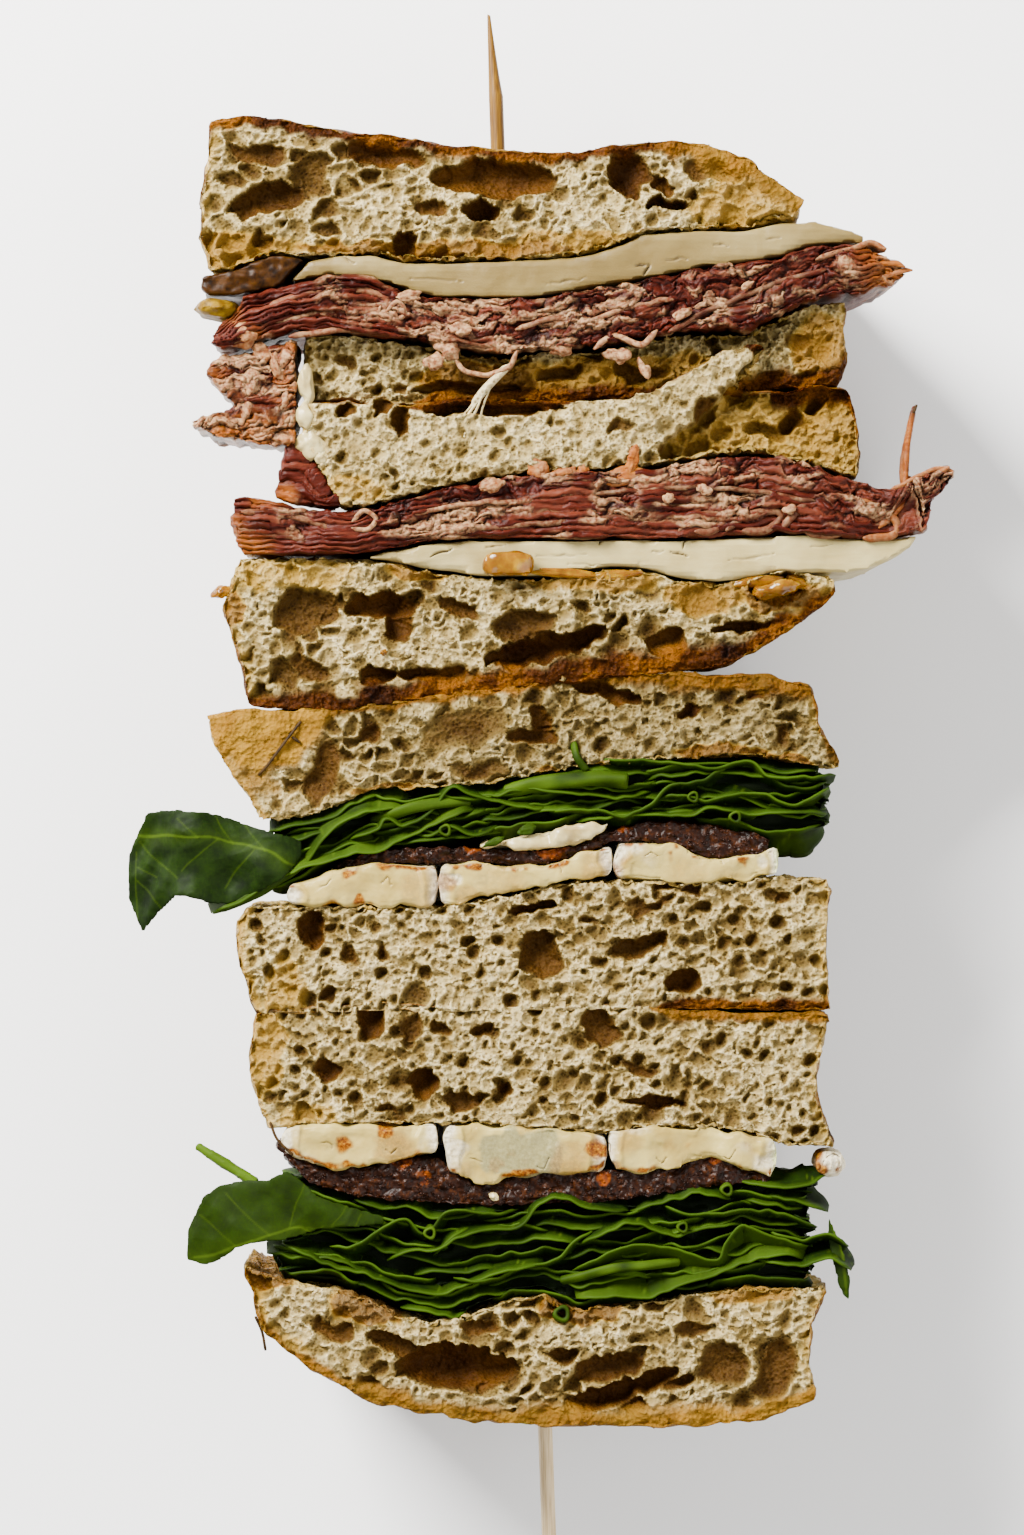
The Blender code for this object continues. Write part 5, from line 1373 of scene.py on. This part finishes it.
# The cut stems: pale juicy hollow tubes, caught among the spinach leaves and cut through with them, so that
# some are seen end on as rings. One long stalk stands out of the lower heap's left end.
STEMS = (  # points along the stem in mm, its radius
    (((-6.5, 0.6, 54.0), (-1.5, 1.9, 56.0), (5, 2.6, 56.8), (11, 3.0, 57.0), (16.2, 2.6, 57.4)), 1.5),
    (((-32, -5.0, 54.0), (-27.5, -3.4, 56.2), (-24.0, -2.4, 56.6), (-18.0, -1.6, 55.6), (-14, -1.5, 54)),
     1.1),
    (((6.2, 9.6, 56.0), (6.8, 7.0, 57.4), (8.4, 4.8, 57.0)), 0.7),
    (((36.8, -4.3, 52.0), (36.8, -4.3, 57.6)), 1.2), (((28.8, -0.5, 52.0), (28.8, -0.5, 57.6)), 1.1),
    (((-18.3, -6.8, 52.0), (-18.3, -6.8, 57.8)), 1.2), (((-21.2, -83.3, 52.0), (-21.2, -83.3, 58.0)), 1.2),
    (((26.8, -82.2, 52.0), (26.8, -82.2, 58.0)), 1.1), (((35.2, -75.1, 52.0), (35.2, -75.1, 58.0)), 1.2),
    (((3.6, -99.8, 52.0), (3.9, -98.6, 57.2)), 1.6),
    (((4, -92.6, 54.5), (8, -91.5, 56.2), (14, -90.0, 57.0), (20, -89.6, 56.6), (26, -89.0, 54.5)), 0.9),
)


def tube_parts(points, radius, hollow=0.5, sides=16):
    """(points, faces, wall share) of a hollow stem along a path."""
    path = smooth_path(points, 0.5)
    forward = np.gradient(path, axis=0)
    forward /= np.linalg.norm(forward, axis=1)[:, None]
    aside = np.cross(forward, (0.3, 0.2, 1.0) if abs(forward[0][2]) < 0.8 else (0, 1, 0))
    aside /= np.linalg.norm(aside, axis=1)[:, None]
    above = np.cross(forward, aside)
    turn = np.linspace(0, 2 * math.pi, sides, endpoint=False)
    loops = []
    walls = [(n, 1.0, 0.0) for n in range(len(path))]
    walls += [(len(path) - 1, (1 + hollow) / 2, 0.25), (len(path) - 1, hollow, 0.0)]
    walls += [(n, hollow, 0.0) for n in range(len(path) - 2, 0, -1)]
    walls += [(0, hollow, 0.0), (0, (1 + hollow) / 2, -0.2)]
    for n, share, out in walls:
        ring = radius * share * (1 + 0.10 * np.sin(3 * turn + n * 0.15))
        loops.append(path[n] + out * forward[n] + ring[:, None] * (np.cos(turn)[:, None] * aside[n]
                                                                     + np.sin(turn)[:, None] * above[n]))
    points = np.concatenate(loops + [loops[0]])
    faces = grid_faces(len(loops), sides, True)
    last = (len(loops) - 1) * sides
    closing = [(last + n, last + (n + 1) % sides, (n + 1) % sides, n) for n in range(sides)]
    return points[:-sides], [tuple(face) for face in faces] + closing, np.repeat([w[1] for w in walls], sides)


stem_parts = [tube_parts(points, radius) for points, radius in STEMS]
cut_stems, points, walls = loose_piece("cut_stems", stem_parts, spinach_leaf, "spinach")
mark(cut_stems, "pale", np.clip(0.45 + 0.4 * noise(points, 3.0, 990), 0, 1))
mark(cut_stems, "shade", 0.8 * (walls < 0.6))

STALK_DRAWN_OUT = (3.2, -2.1, 0.6)  # mm, at its free end
stalk = rebuilt("stem_4_stalk", "stem_4", 0.5, 1)
places, outward = places_of(stalk)
reach = rise(places[:, 0], places[:, 0].min() + 2, places[:, 0].max())
drawn_out = reach[:, None] * STALK_DRAWN_OUT
move_to(stalk, places + drawn_out + outward * (0.12 * noise(places, 1.6, 991))[:, None])
mark(stalk, "pale", np.clip(0.85 + 0.3 * noise(places, 3.0, 992), 0, 1))
stalk.data.materials.append(spinach_leaf)
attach(stalk, "root")
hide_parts("stem_4")

# The big leaves: whole spinach leaves that hang out past the bread, puffed up between their pale veins.
# leaf_3 is bent over at its left, and leaf_4 lies over the end of its heap.
BIG_LEAVES = {  # the vein lines of each in mm, its middle vein first
    "leaf_3": (
        ((-46, -14), (-54, -10), (-62, -8.5), (-70, -8), (-77, -8)),
        ((-52, -11), (-56, -5)), ((-58, -9.2), (-62, -4)), ((-65, -8.4), (-69, -4.5)),
        ((-54, -10.5), (-60, -18)), ((-61, -8.8), (-68, -15)), ((-77, -9), (-69, -16)),
        ((-77.5, -11), (-77, -25)), ((-77, -17), (-72, -22)), ((-77, -14), (-73, -16)),
    ),
    "leaf_4": (
        ((-30, -84), (-40, -83.5), (-48, -83), (-56, -85), (-66, -88)),
        ((-45, -73.5), (-47, -78), (-48.5, -83)), ((-48, -83), (-41.5, -82)), ((-52, -84), (-60, -76)),
        ((-58, -86), (-65, -80)), ((-55, -84.5), (-62, -88)), ((-40, -83), (-37, -78)),
        ((-36, -83.8), (-34, -80)),
    ),
    "leaf_4_right": (((55.5, -80.5), (57, -86), (58.4, -95)), ((56, -83), (57.6, -85)),
                     ((57, -87), (58.6, -89))),
}
LIMPNESS = 60  # how often the blade's folds are evened out


def from_line(flat, line):
    """How far each place is from a line of points."""
    line = np.asarray(line, float)
    nearest = np.full(len(flat), np.inf)
    for a, b in zip(line, line[1:]):
        t = np.clip(((flat - a) @ (b - a)) / ((b - a) @ (b - a)), 0, 1)
        nearest = np.minimum(nearest, np.linalg.norm(flat - a - t[:, None] * (b - a), axis=1))
    return nearest


for k, (node, lines) in enumerate(BIG_LEAVES.items()):
    leaf = rebuilt(node + "_blade", node, 0.55, 1)
    limp = bmesh.new()
    limp.from_mesh(leaf.data)
    for _ in range(LIMPNESS):
        bmesh.ops.smooth_vert(limp, verts=limp.verts, factor=0.5, use_axis_z=True)
    limp.to_mesh(leaf.data)
    limp.free()
    places, outward = places_of(leaf)
    flat = places[:, :2] + 0.5 * wobble(places[:, :2], 4.0, 960 + k, 4)
    main = from_line(flat, smooth_path(lines[0], 1.0))
    side = np.minimum.reduce([from_line(flat, line) for line in lines[1:]])
    puffed = 0.4 * rise(np.minimum(main, side), 0, 3.6) - 0.25
    lift = puffed + 0.04 * noise(flat, 1.3, 974 + k)
    shift = np.zeros_like(places)
    shift[:, 2] = np.minimum(lift, 0.9)
    shift[:, :2] = 0.45 * wobble(places[:, :2], 7.0, 980 + k, 4)
    move_to(leaf, places + shift)
    mark(leaf, "vein", np.clip(0.65 * rise(-main, -0.40, -0.05) + 0.3 * rise(-side, -0.26, -0.03), 0, 1))
    mark(leaf, "pale", np.clip(0.10 * (node == "leaf_4") + 0.12 * rise(-main, -3.0, 0), 0, 1))
    leaf.data.materials.append(spinach_leaf)
    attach(leaf, "root")
    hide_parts(node)

# The brie: cut slices of soft ripe cheese with a chalky white rind at their ends, and one loose lump of
# rind. The paste is cream coloured, sags between the breads and is stained by the olive paste's oil.
STAINS = {  # x, y, radius in mm, strength
    "brie_3a": ((-40, -21.4, 1.2, 0.8), (-37, -22.2, 1.0, 0.9), (-34.5, -20.2, 0.9, 0.9),
                (-32.4, -21.0, 0.9, 0.8), (-23, -18, 3.0, 0.3)),
    "brie_3b": ((-18, -17, 1.6, 0.5), (-8, -16.5, 4.0, 0.2), (10, -13.5, 2.4, 0.25), (-14, -19.5, 2.0, 0.3)),
    "brie_3c": ((14.6, -14, 1.4, 0.5), (28, -15.5, 3.0, 0.15)),
    "brie_4a": ((-37.6, -67.0, 1.4, 1.0), (-29.5, -63.9, 1.4, 0.9), (-28, -67, 3.2, 0.35),
                (-24, -70, 2.0, 0.6)),
    "brie_4b": ((10.0, -67.6, 1.5, 1.0), (5, -70, 3.0, 0.3), (-16, -72, 2.0, 0.2)),
    "brie_4c": ((14.0, -71.5, 1.5, 0.5), (40, -64, 2.0, 0.2), (17, -66, 2.0, 0.2)),
    "brie_4d": ((52.6, -69.0, 1.3, 0.9), (53.4, -71.2, 1.0, 0.7)),
}
RIPE_CENTRE = {"brie_4b": (-4.0, -68.0, 8.5, 4.2)}  # x, y, half width and half height in mm
GREEN_END = {"brie_3c": 44.6, "brie_4c": 44.2}  # x from which the rind is green

brie_paste, shader, add = new_material("ripe_brie")
where = add("TexCoord").outputs["Object"]
rind = marked(add, "rind")
stain = marked(add, "stain")
ripe = marked(add, "ripe")
green = marked(add, "green")
crack = marked(add, "crack")
cloud = tones(add, where, 130, 3)
chalk = tones(add, where, 1500, 5, 0.7)
colour = ramp(add, cloud, (0.32, (0.30, 0.205, 0.044)), (0.65, (0.46, 0.365, 0.112)))
ripe_middle = ramp(add, chalk, (0.3, (0.17, 0.145, 0.055)), (0.7, (0.28, 0.25, 0.115)))
colour = blend_colours(add, ripe, colour, ripe_middle)
white_rind = ramp(add, chalk, (0.3, (0.37, 0.30, 0.16)), (0.6, (0.66, 0.60, 0.45)))
colour = blend_colours(add, rind, colour, white_rind)
colour = blend_colours(add, green, colour, (0.42, 0.52, 0.16))
oil = ramp(add, chalk, (0.35, (0.060, 0.011, 0.0003)), (0.5, (0.165, 0.048, 0.0008)),
           (0.7, (0.36, 0.175, 0.006)))
colour = blend_colours(add, stain, colour, oil)
# Painted shade in the splits
colour = blend_colours(add, crack, colour, (0.10, 0.07, 0.03))
let_light_in(shader, 0.2, (1.0, 0.8, 0.4), 0.6, 0.15)
roughness = ramp(add, rind, (0.0, (0.3,) * 3), (1.0, (0.75,) * 3))
finish(brie_paste, shader, add, colour, roughness, ((cloud, 0.3, 0.4), (chalk, 0.45, 0.2)))


def brie_slice(k, node):
    piece = rebuilt(node + "_slice", node, 0.8, 3)
    places, outward = places_of(piece)
    flat = places[:, :2]
    top = places[:, 2].max()
    up = cut_side(places, outward, 0.2, 8, 5)
    low_x, high_x = places[:, 0].min(), places[:, 0].max()
    from_end = np.minimum(places[:, 0] - low_x, high_x - places[:, 0]) + 0.7 * noise(flat, 2.2, 1000 + k)
    whole = node == "brie_4d"
    rinded = np.ones(len(flat)) if whole else rise(-from_end, -2.4, -0.7)
    patch = rise(noise(flat, 3.4, 1010 + k), 0.35, 0.75) * rise(-from_end, -9, -2)
    rinded = np.maximum(rinded, 0.7 * patch)
    crumbly = rinded * (0.5 * np.abs(noise(places, 1.2, 1020 + k))
                        + 0.3 * np.abs(noise(places, 0.6, 1021 + k)))
    flow = 0.55 * noise(flat, 6.0, 1030 + k) + 0.22 * noise(flat, 2.2, 1031 + k)
    flow += 0.05 * noise(flat, 0.8, 1032 + k)
    split = np.zeros(len(flat))
    for n in range(2):
        x = low_x + (0.25 + 0.42 * n + 0.1 * math.sin(3 * k)) * (high_x - low_x)
        y = places[:, 1].mean() + 1.8 * math.sin(7 * n + k)
        path = ((x - 1.2, y), (x, y + 0.9 * math.sin(n + k)), (x + 0.9, y + 1.1 * math.cos(2 * n + k)))
        away = from_line(flat + 0.2 * noise(flat, 0.8, 1040 + n)[:, None], path)
        split = np.maximum(split, 0.5 * rise(-away, -0.16, -0.03))
    near_front = rise(places[:, 2], top - 12, top - 4)
    bulge = 0.3 * noise(places, 3.0, 1050 + k) + (0.7 if whole else 0.0) * crumbly
    new = places + outward * ((1 - up) * bulge)[:, None]
    new[:, 2] += up * (flow - crumbly - 0.8 * split + 0.35 * rise(-np.abs(from_end - 2.6), -0.8, 0))
    new[:, 1] += (0.75 * noise(places, 3.4, 1060 + k) + 0.3 * noise(places, 1.3, 1061 + k)) * near_front
    new[:, 1] += 0.4 * outward[:, 1] * near_front
    leftward = rise(low_x + 3 - places[:, 0], 0, 2.5)
    rightward = rise(places[:, 0] - high_x + 3, 0, 2.5)
    if not whole:
        new[:, 0] += ((0.5 + 0.3 * noise(places, 2.0, 1067 + k)) * (rightward - leftward)) * near_front
    new[:, 2] = np.maximum(new[:, 2], 1)
    move_to(piece, new)
    edge_low, edge_high = outline(places, (outward[:, 2] > 0.4) & (places[:, 2] > top - 5), 0, 1.5)
    to_paste = edge_high - places[:, 1] if node[5] == "3" else places[:, 1] - edge_low
    oily = noise(flat, 3.4, 1065 + k) + 0.5 * noise(flat, 1.1, 1066 + k)
    stained = rise(oily - 0.55 * to_paste, -0.2, 0.3) * up
    stained = np.maximum(stained, 0.35 * rise(oily, 0.5, 1.1))
    uneven = flat + 0.6 * wobble(flat, 1.4, 1070)
    for x, y, radius, strength in STAINS[node]:
        near = np.hypot(uneven[:, 0] - x, uneven[:, 1] - y) / (1.5 * radius)
        stained = np.maximum(stained, min(1.4 * strength, 1) * rise(-near, -1.05, -0.55))
    mark(piece, "rind", np.clip(rinded, 0, 1))
    mark(piece, "stain", stained)
    mark(piece, "crack", split * up)
    if node in RIPE_CENTRE:
        x, y, wide, tall = RIPE_CENTRE[node]
        ripe = 1 - ((uneven[:, 0] - x) / wide) ** 4 - ((uneven[:, 1] - y) / tall) ** 4
        mark(piece, "ripe", rise(ripe, 0, 0.5))
    if node in GREEN_END:
        mark(piece, "green", 0.6 * rise(places[:, 0], GREEN_END[node] - 1.3, GREEN_END[node]))
    piece.data.materials.append(brie_paste)
    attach(piece, "root")
    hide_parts(node)


for k, node in enumerate(STAINS):
    brie_slice(k, node)

# The olive paste: dark chopped olives and dried tomato in oil, spread unevenly beside the brie. Its solid
# is broken up into a coarse wet mass, and loose grains of olive stand out all over its open face.
GRAIN_SIZE = 0.75  # mm
GRAINS_PER_CM2 = 75
CM2_PER_M2 = 1e4
RED_BITS = {  # x, y and radius in mm of the places with the most tomato
    "tapenade_3": ((-34.4, -10.6, 2.5), (-13, -9.0, 4.5), (2, -10.2, 7.0), (16, -6.6, 3.0), (36, -14.0, 3.0)),
    "tapenade_4": ((-37.5, -68.5, 3.0), (-27, -69.5, 5.0), (-22.5, -73, 3.5), (33, -69, 3.0),
                   (12, -73.2, 3.0), (-46, -76, 3.0)),
}

olive_paste, shader, add = new_material("olive_paste")
where = add("TexCoord").outputs["Object"]
red = marked(add, "red")
bits = add("TexVoronoi", {"Vector": where, "Scale": 1100}, feature="F1")
mottle = tones(add, where, 700, 5, 0.7)
colour = ramp(add, mottle, (0.3, (0.0030, 0.0006, 0.0002)), (0.52, (0.0130, 0.0030, 0.0006)),
              (0.72, (0.052, 0.014, 0.0018)))
tomato = ramp(add, mottle, (0.35, (0.045, 0.0055, 0.0005)), (0.65, (0.230, 0.050, 0.0012)))
chips = tones(add, where, 330, 2)
lively = add("Math", {0: chips, 1: red}, operation="MULTIPLY").outputs[0]
share = ramp(add, lively, (0.37, (0, 0, 0)), (0.5, (1, 1, 1)))
colour = blend_colours(add, share, colour, tomato)
shader.inputs["Specular IOR Level"].default_value = 0.12
finish(olive_paste, shader, add, colour, 0.4, ((bits.outputs["Distance"], 0.5, 0.3), (mottle, 0.4, 0.2)))


def redness(node, flat):
    near = np.zeros(len(flat))
    for x, y, radius in RED_BITS[node]:
        near = np.maximum(near, rise(-np.hypot(flat[:, 0] - x, flat[:, 1] - y) / radius, -1.0, -0.2))
    return near


SMALLEST_GRAIN = (0.4, 0.35, 0.3)
LARGEST_GRAIN = (1.3, 0.9, 0.7)
FULL_TURN = (6.28, 6.28, 6.28)


def grain_scatter(material, grain):
    """A node tree that strews turned, uneven grains over a mesh, most of them where it is marked open."""
    tree = bpy.data.node_groups.new("strewn_grains", "GeometryNodeTree")
    tree.interface.new_socket("Geometry", in_out="INPUT", socket_type="NodeSocketGeometry")
    tree.interface.new_socket("Grains per m2", in_out="INPUT", socket_type="NodeSocketFloat")
    tree.interface.new_socket("Grain size", in_out="INPUT", socket_type="NodeSocketFloat")
    tree.interface.new_socket("Seed", in_out="INPUT", socket_type="NodeSocketInt")
    tree.interface.new_socket("Geometry", in_out="OUTPUT", socket_type="NodeSocketGeometry")

    def node(kind, **inputs):
        made = tree.nodes.new(kind)
        for name, value in inputs.items():
            socket = made.inputs[name.replace("_", " ")]
            if isinstance(value, bpy.types.NodeSocket):
                tree.links.new(value, socket)
            else:
                socket.default_value = value
        return made

    def random_vector(low, high):
        made = tree.nodes.new("FunctionNodeRandomValue")
        made.data_type = "FLOAT_VECTOR"
        made.inputs["Min"].default_value = low
        made.inputs["Max"].default_value = high
        tree.links.new(given["Seed"], made.inputs["Seed"])
        return made.outputs["Value"]

    given = tree.nodes.new("NodeGroupInput").outputs
    open_face = node("GeometryNodeInputNamedAttribute", Name="open").outputs["Attribute"]
    density = tree.nodes.new("ShaderNodeMath")
    density.operation = "MULTIPLY"
    tree.links.new(open_face, density.inputs[0])
    tree.links.new(given["Grains per m2"], density.inputs[1])
    spots = node("GeometryNodeDistributePointsOnFaces", Mesh=given["Geometry"], Density=density.outputs[0],
                 Seed=given["Seed"])
    turn = random_vector((0, 0, 0), FULL_TURN)
    grown = random_vector(SMALLEST_GRAIN, LARGEST_GRAIN)
    sized = tree.nodes.new("ShaderNodeVectorMath")
    sized.operation = "SCALE"
    tree.links.new(grown, sized.inputs[0])
    tree.links.new(given["Grain size"], sized.inputs["Scale"])
    shape = node("GeometryNodeObjectInfo", Object=grain).outputs["Geometry"]
    placed = node("GeometryNodeInstanceOnPoints", Points=spots.outputs["Points"], Instance=shape,
                  Rotation=turn, Scale=sized.outputs[0]).outputs["Instances"]
    real = node("GeometryNodeRealizeInstances", Geometry=placed).outputs["Geometry"]
    painted = node("GeometryNodeSetMaterial", Geometry=real, Material=material).outputs["Geometry"]
    tree.links.new(painted, tree.nodes.new("NodeGroupOutput").inputs["Geometry"])
    return tree


def strew(name, ground, tree, slot, **values):
    """Runs a scatter tree on a copy of a piece and keeps what it strews as a plain mesh piece."""
    piece = bpy.data.objects.new(name, ground.data.copy())
    bpy.context.scene.collection.objects.link(piece)
    modifier = piece.modifiers.new(name, "NODES")
    modifier.node_group = tree
    sockets = {s.name: s.identifier for s in tree.interface.items_tree if s.in_out == "INPUT"}
    for key, value in values.items():
        modifier[sockets[key.replace("_", " ")]] = value
    made = bpy.data.meshes.new_from_object(piece.evaluated_get(bpy.context.evaluated_depsgraph_get()))
    piece.modifiers.clear()
    piece.data = made
    made.shade_smooth()
    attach(piece, "root")
    return piece


def unit_grain(name, seed, rough):
    """One uneven lump a metre across, to be scaled down to a grain."""
    points, faces, _ = lump_parts(np.zeros(3), np.ones(3) * 0.5, seed, rough, 0, 2)
    mesh = bpy.data.meshes.new(name)
    mesh.from_pydata(points.tolist(), [], faces)
    return bpy.data.objects.new(name, mesh)


chopped_olive = unit_grain("chopped_olive", 1100, 0.5)
olive_scatter = grain_scatter(olive_paste, chopped_olive)
for k, node in enumerate(RED_BITS):
    piece = rebuilt(node + "_paste", node, 0.8, 2)
    places, outward = places_of(piece)
    up = cut_side(places, outward, 0.1, 9, 5)
    coarse = 0.7 * np.abs(noise(places, 2.2, 1110 + k)) + 0.55 * np.abs(noise(places, 1.0, 1112 + k))
    ragged_edge = 0.6 * noise(places, 3.0, 1114 + k)
    places = places + outward * (coarse - 0.3 + 0.4 * ragged_edge)[:, None]
    places[:, 2] = np.maximum(places[:, 2] - 0.7 * up, 1)
    move_to(piece, places)
    mark(piece, "red", redness(node, places[:, :2]))
    mark(piece, "open", up)
    piece.data.materials.append(olive_paste)
    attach(piece, "root")
    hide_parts(node)
    grains = strew(node + "_grains", piece, olive_scatter, "tapenade", Grains_per_m2=GRAINS_PER_CM2
                   * CM2_PER_M2, Grain_size=GRAIN_SIZE * MM, Seed=40 + k)
    grain_places, _ = places_of(grains)
    if "red" in grains.data.attributes:
        grains.data.attributes.remove(grains.data.attributes["red"])
    mark(grains, "red", redness(node, grain_places[:, :2]))
bpy.data.objects.remove(chopped_olive)

# The loose bits: strings of crumb, torn across the gap in the second sandwich, dry rosemary needles on the
# crusts, bits of leaf and a few crumbs. They cling where the bread was torn, baked or cut.
CRUMB_STRINGS = (  # points in mm, thickness, depth
    (((-6.2, 81.6, 57.6), (-9, 78.8, 58.2), (-11.6, 76.0, 58.0), (-13.2, 73.6, 57.4)), 1.5, 1.6),
    (((-6.5, 81.2, 57.4), (-9.8, 77.6, 57.8), (-12.6, 74.0, 57.6), (-15.6, 69.6, 57.0),
      (-16.4, 67.0, 56.6)), 0.55, 0.6),
    (((-10.2, 78.4, 57.8), (-12.2, 73.6, 57.8), (-14.2, 69.6, 57.2), (-15.0, 66.0, 56.8)), 0.35, 0.4),
    (((-11.8, 76.2, 57.6), (-14.4, 72.6, 57.2), (-17.6, 70.2, 56.6)), 0.35, 0.4),
    (((-9.0, 79.0, 57.6), (-11.2, 73.6, 57.2), (-11.9, 69.0, 56.8)), 0.3, 0.4),
)
NEEDLES = (((-54.9, 11.2, 56.2), (-53.9, 10.2, 56.6)), ((-47.3, 10.8, 56.6), (-46.0, 10.0, 56.8)),
           ((-45.8, 13.8, 56.6), (-49.0, 9.6, 57.2), (-52.0, 5.6, 57.2), (-53.7, 3.8, 56.8)),
           ((-54.4, -99.6, 55.0), (-53.2, -102.4, 54.6), (-52.6, -105.8, 54.0)),
           ((71.0, 72.8, 54.8), (71.4, 74.0, 54.8)),
           ((-51.5, -62.5, 56.6), (-50.2, -65.5, 57.0), (-47.4, -68.4, 57.0)))

string_parts = [thin_sheet(smooth_path(points, 0.4), DOWN, deep, thick, 0.1, 0.1, 1200 + n, 3)
                for n, (points, thick, deep) in enumerate(CRUMB_STRINGS)]
loose_piece("crumb_strings", string_parts, ciabatta, "bread")

herb, shader, add = new_material("dry_herb")
where = add("TexCoord").outputs["Object"]
mottle = tones(add, where, 900, 3)
colour = ramp(add, mottle, (0.3, (0.010, 0.005, 0.001)), (0.7, (0.045, 0.022, 0.005)))
shader.inputs["Specular IOR Level"].default_value = 0.1
finish(herb, shader, add, colour, 0.6, ((mottle, 0.5, 0.1),))
needle_parts = [tube_parts(points, 0.28, 0.3, 8) for points in NEEDLES]
loose_piece("herb_needles", needle_parts, herb, "bread")

# Bits of spinach: a narrow leaf that hangs under the bent one in the third sandwich, and two torn bits
# that stuck to its soft white spread
spread_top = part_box("cream_3")[1].z / MM
LEAF_BITS = ((-54.2, -18.4, 56.0, 9.2, 1.5, 27), (-2.8, -6.7, spread_top, 2.0, 1.1, 10),
             (-8.8, -9.0, spread_top, 2.3, 0.8, 25))  # x, y, z, half sizes, tilt
bit_parts = [lump_parts(np.array((x, y, z)), np.array((wide, tall, 0.6)), 1250 + n, 0.25, tilt, 4)
             for n, (x, y, z, wide, tall, tilt) in enumerate(LEAF_BITS)]
leaf_bits, points, _ = loose_piece("leaf_bits", bit_parts, spinach_leaf, "spinach")
mark(leaf_bits, "pale", np.full(len(points), 0.25))

# The crumbs: small hard grains that broke off the crust when the breads were cut. A few lie on the crust
# and on the cut of each bread, all from one strewing over it.
CRUMB_SIZE = 0.7  # mm
CRUMBS_PER_CM2 = 3.0
bread_crumb = unit_grain("bread_crumb", 1300, 0.6)
crumb_scatter = grain_scatter(ciabatta, bread_crumb)
for k, (node, piece) in enumerate(breads.items()):
    places, outward = places_of(piece)
    if "open" not in piece.data.attributes:
        mark(piece, "open", np.clip(0.15 + 0.85 * rise(outward[:, 2], 0.3, 0.8), 0, 1))
    strew(node + "_crumbs", piece, crumb_scatter, "bread", Grains_per_m2=CRUMBS_PER_CM2 * CM2_PER_M2,
          Grain_size=CRUMB_SIZE * MM, Seed=60 + k)
bpy.data.objects.remove(bread_crumb)

# The size of the finished tower beside the size of its solids
[[list(corner) for corner in box] for box in (cad_box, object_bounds())]
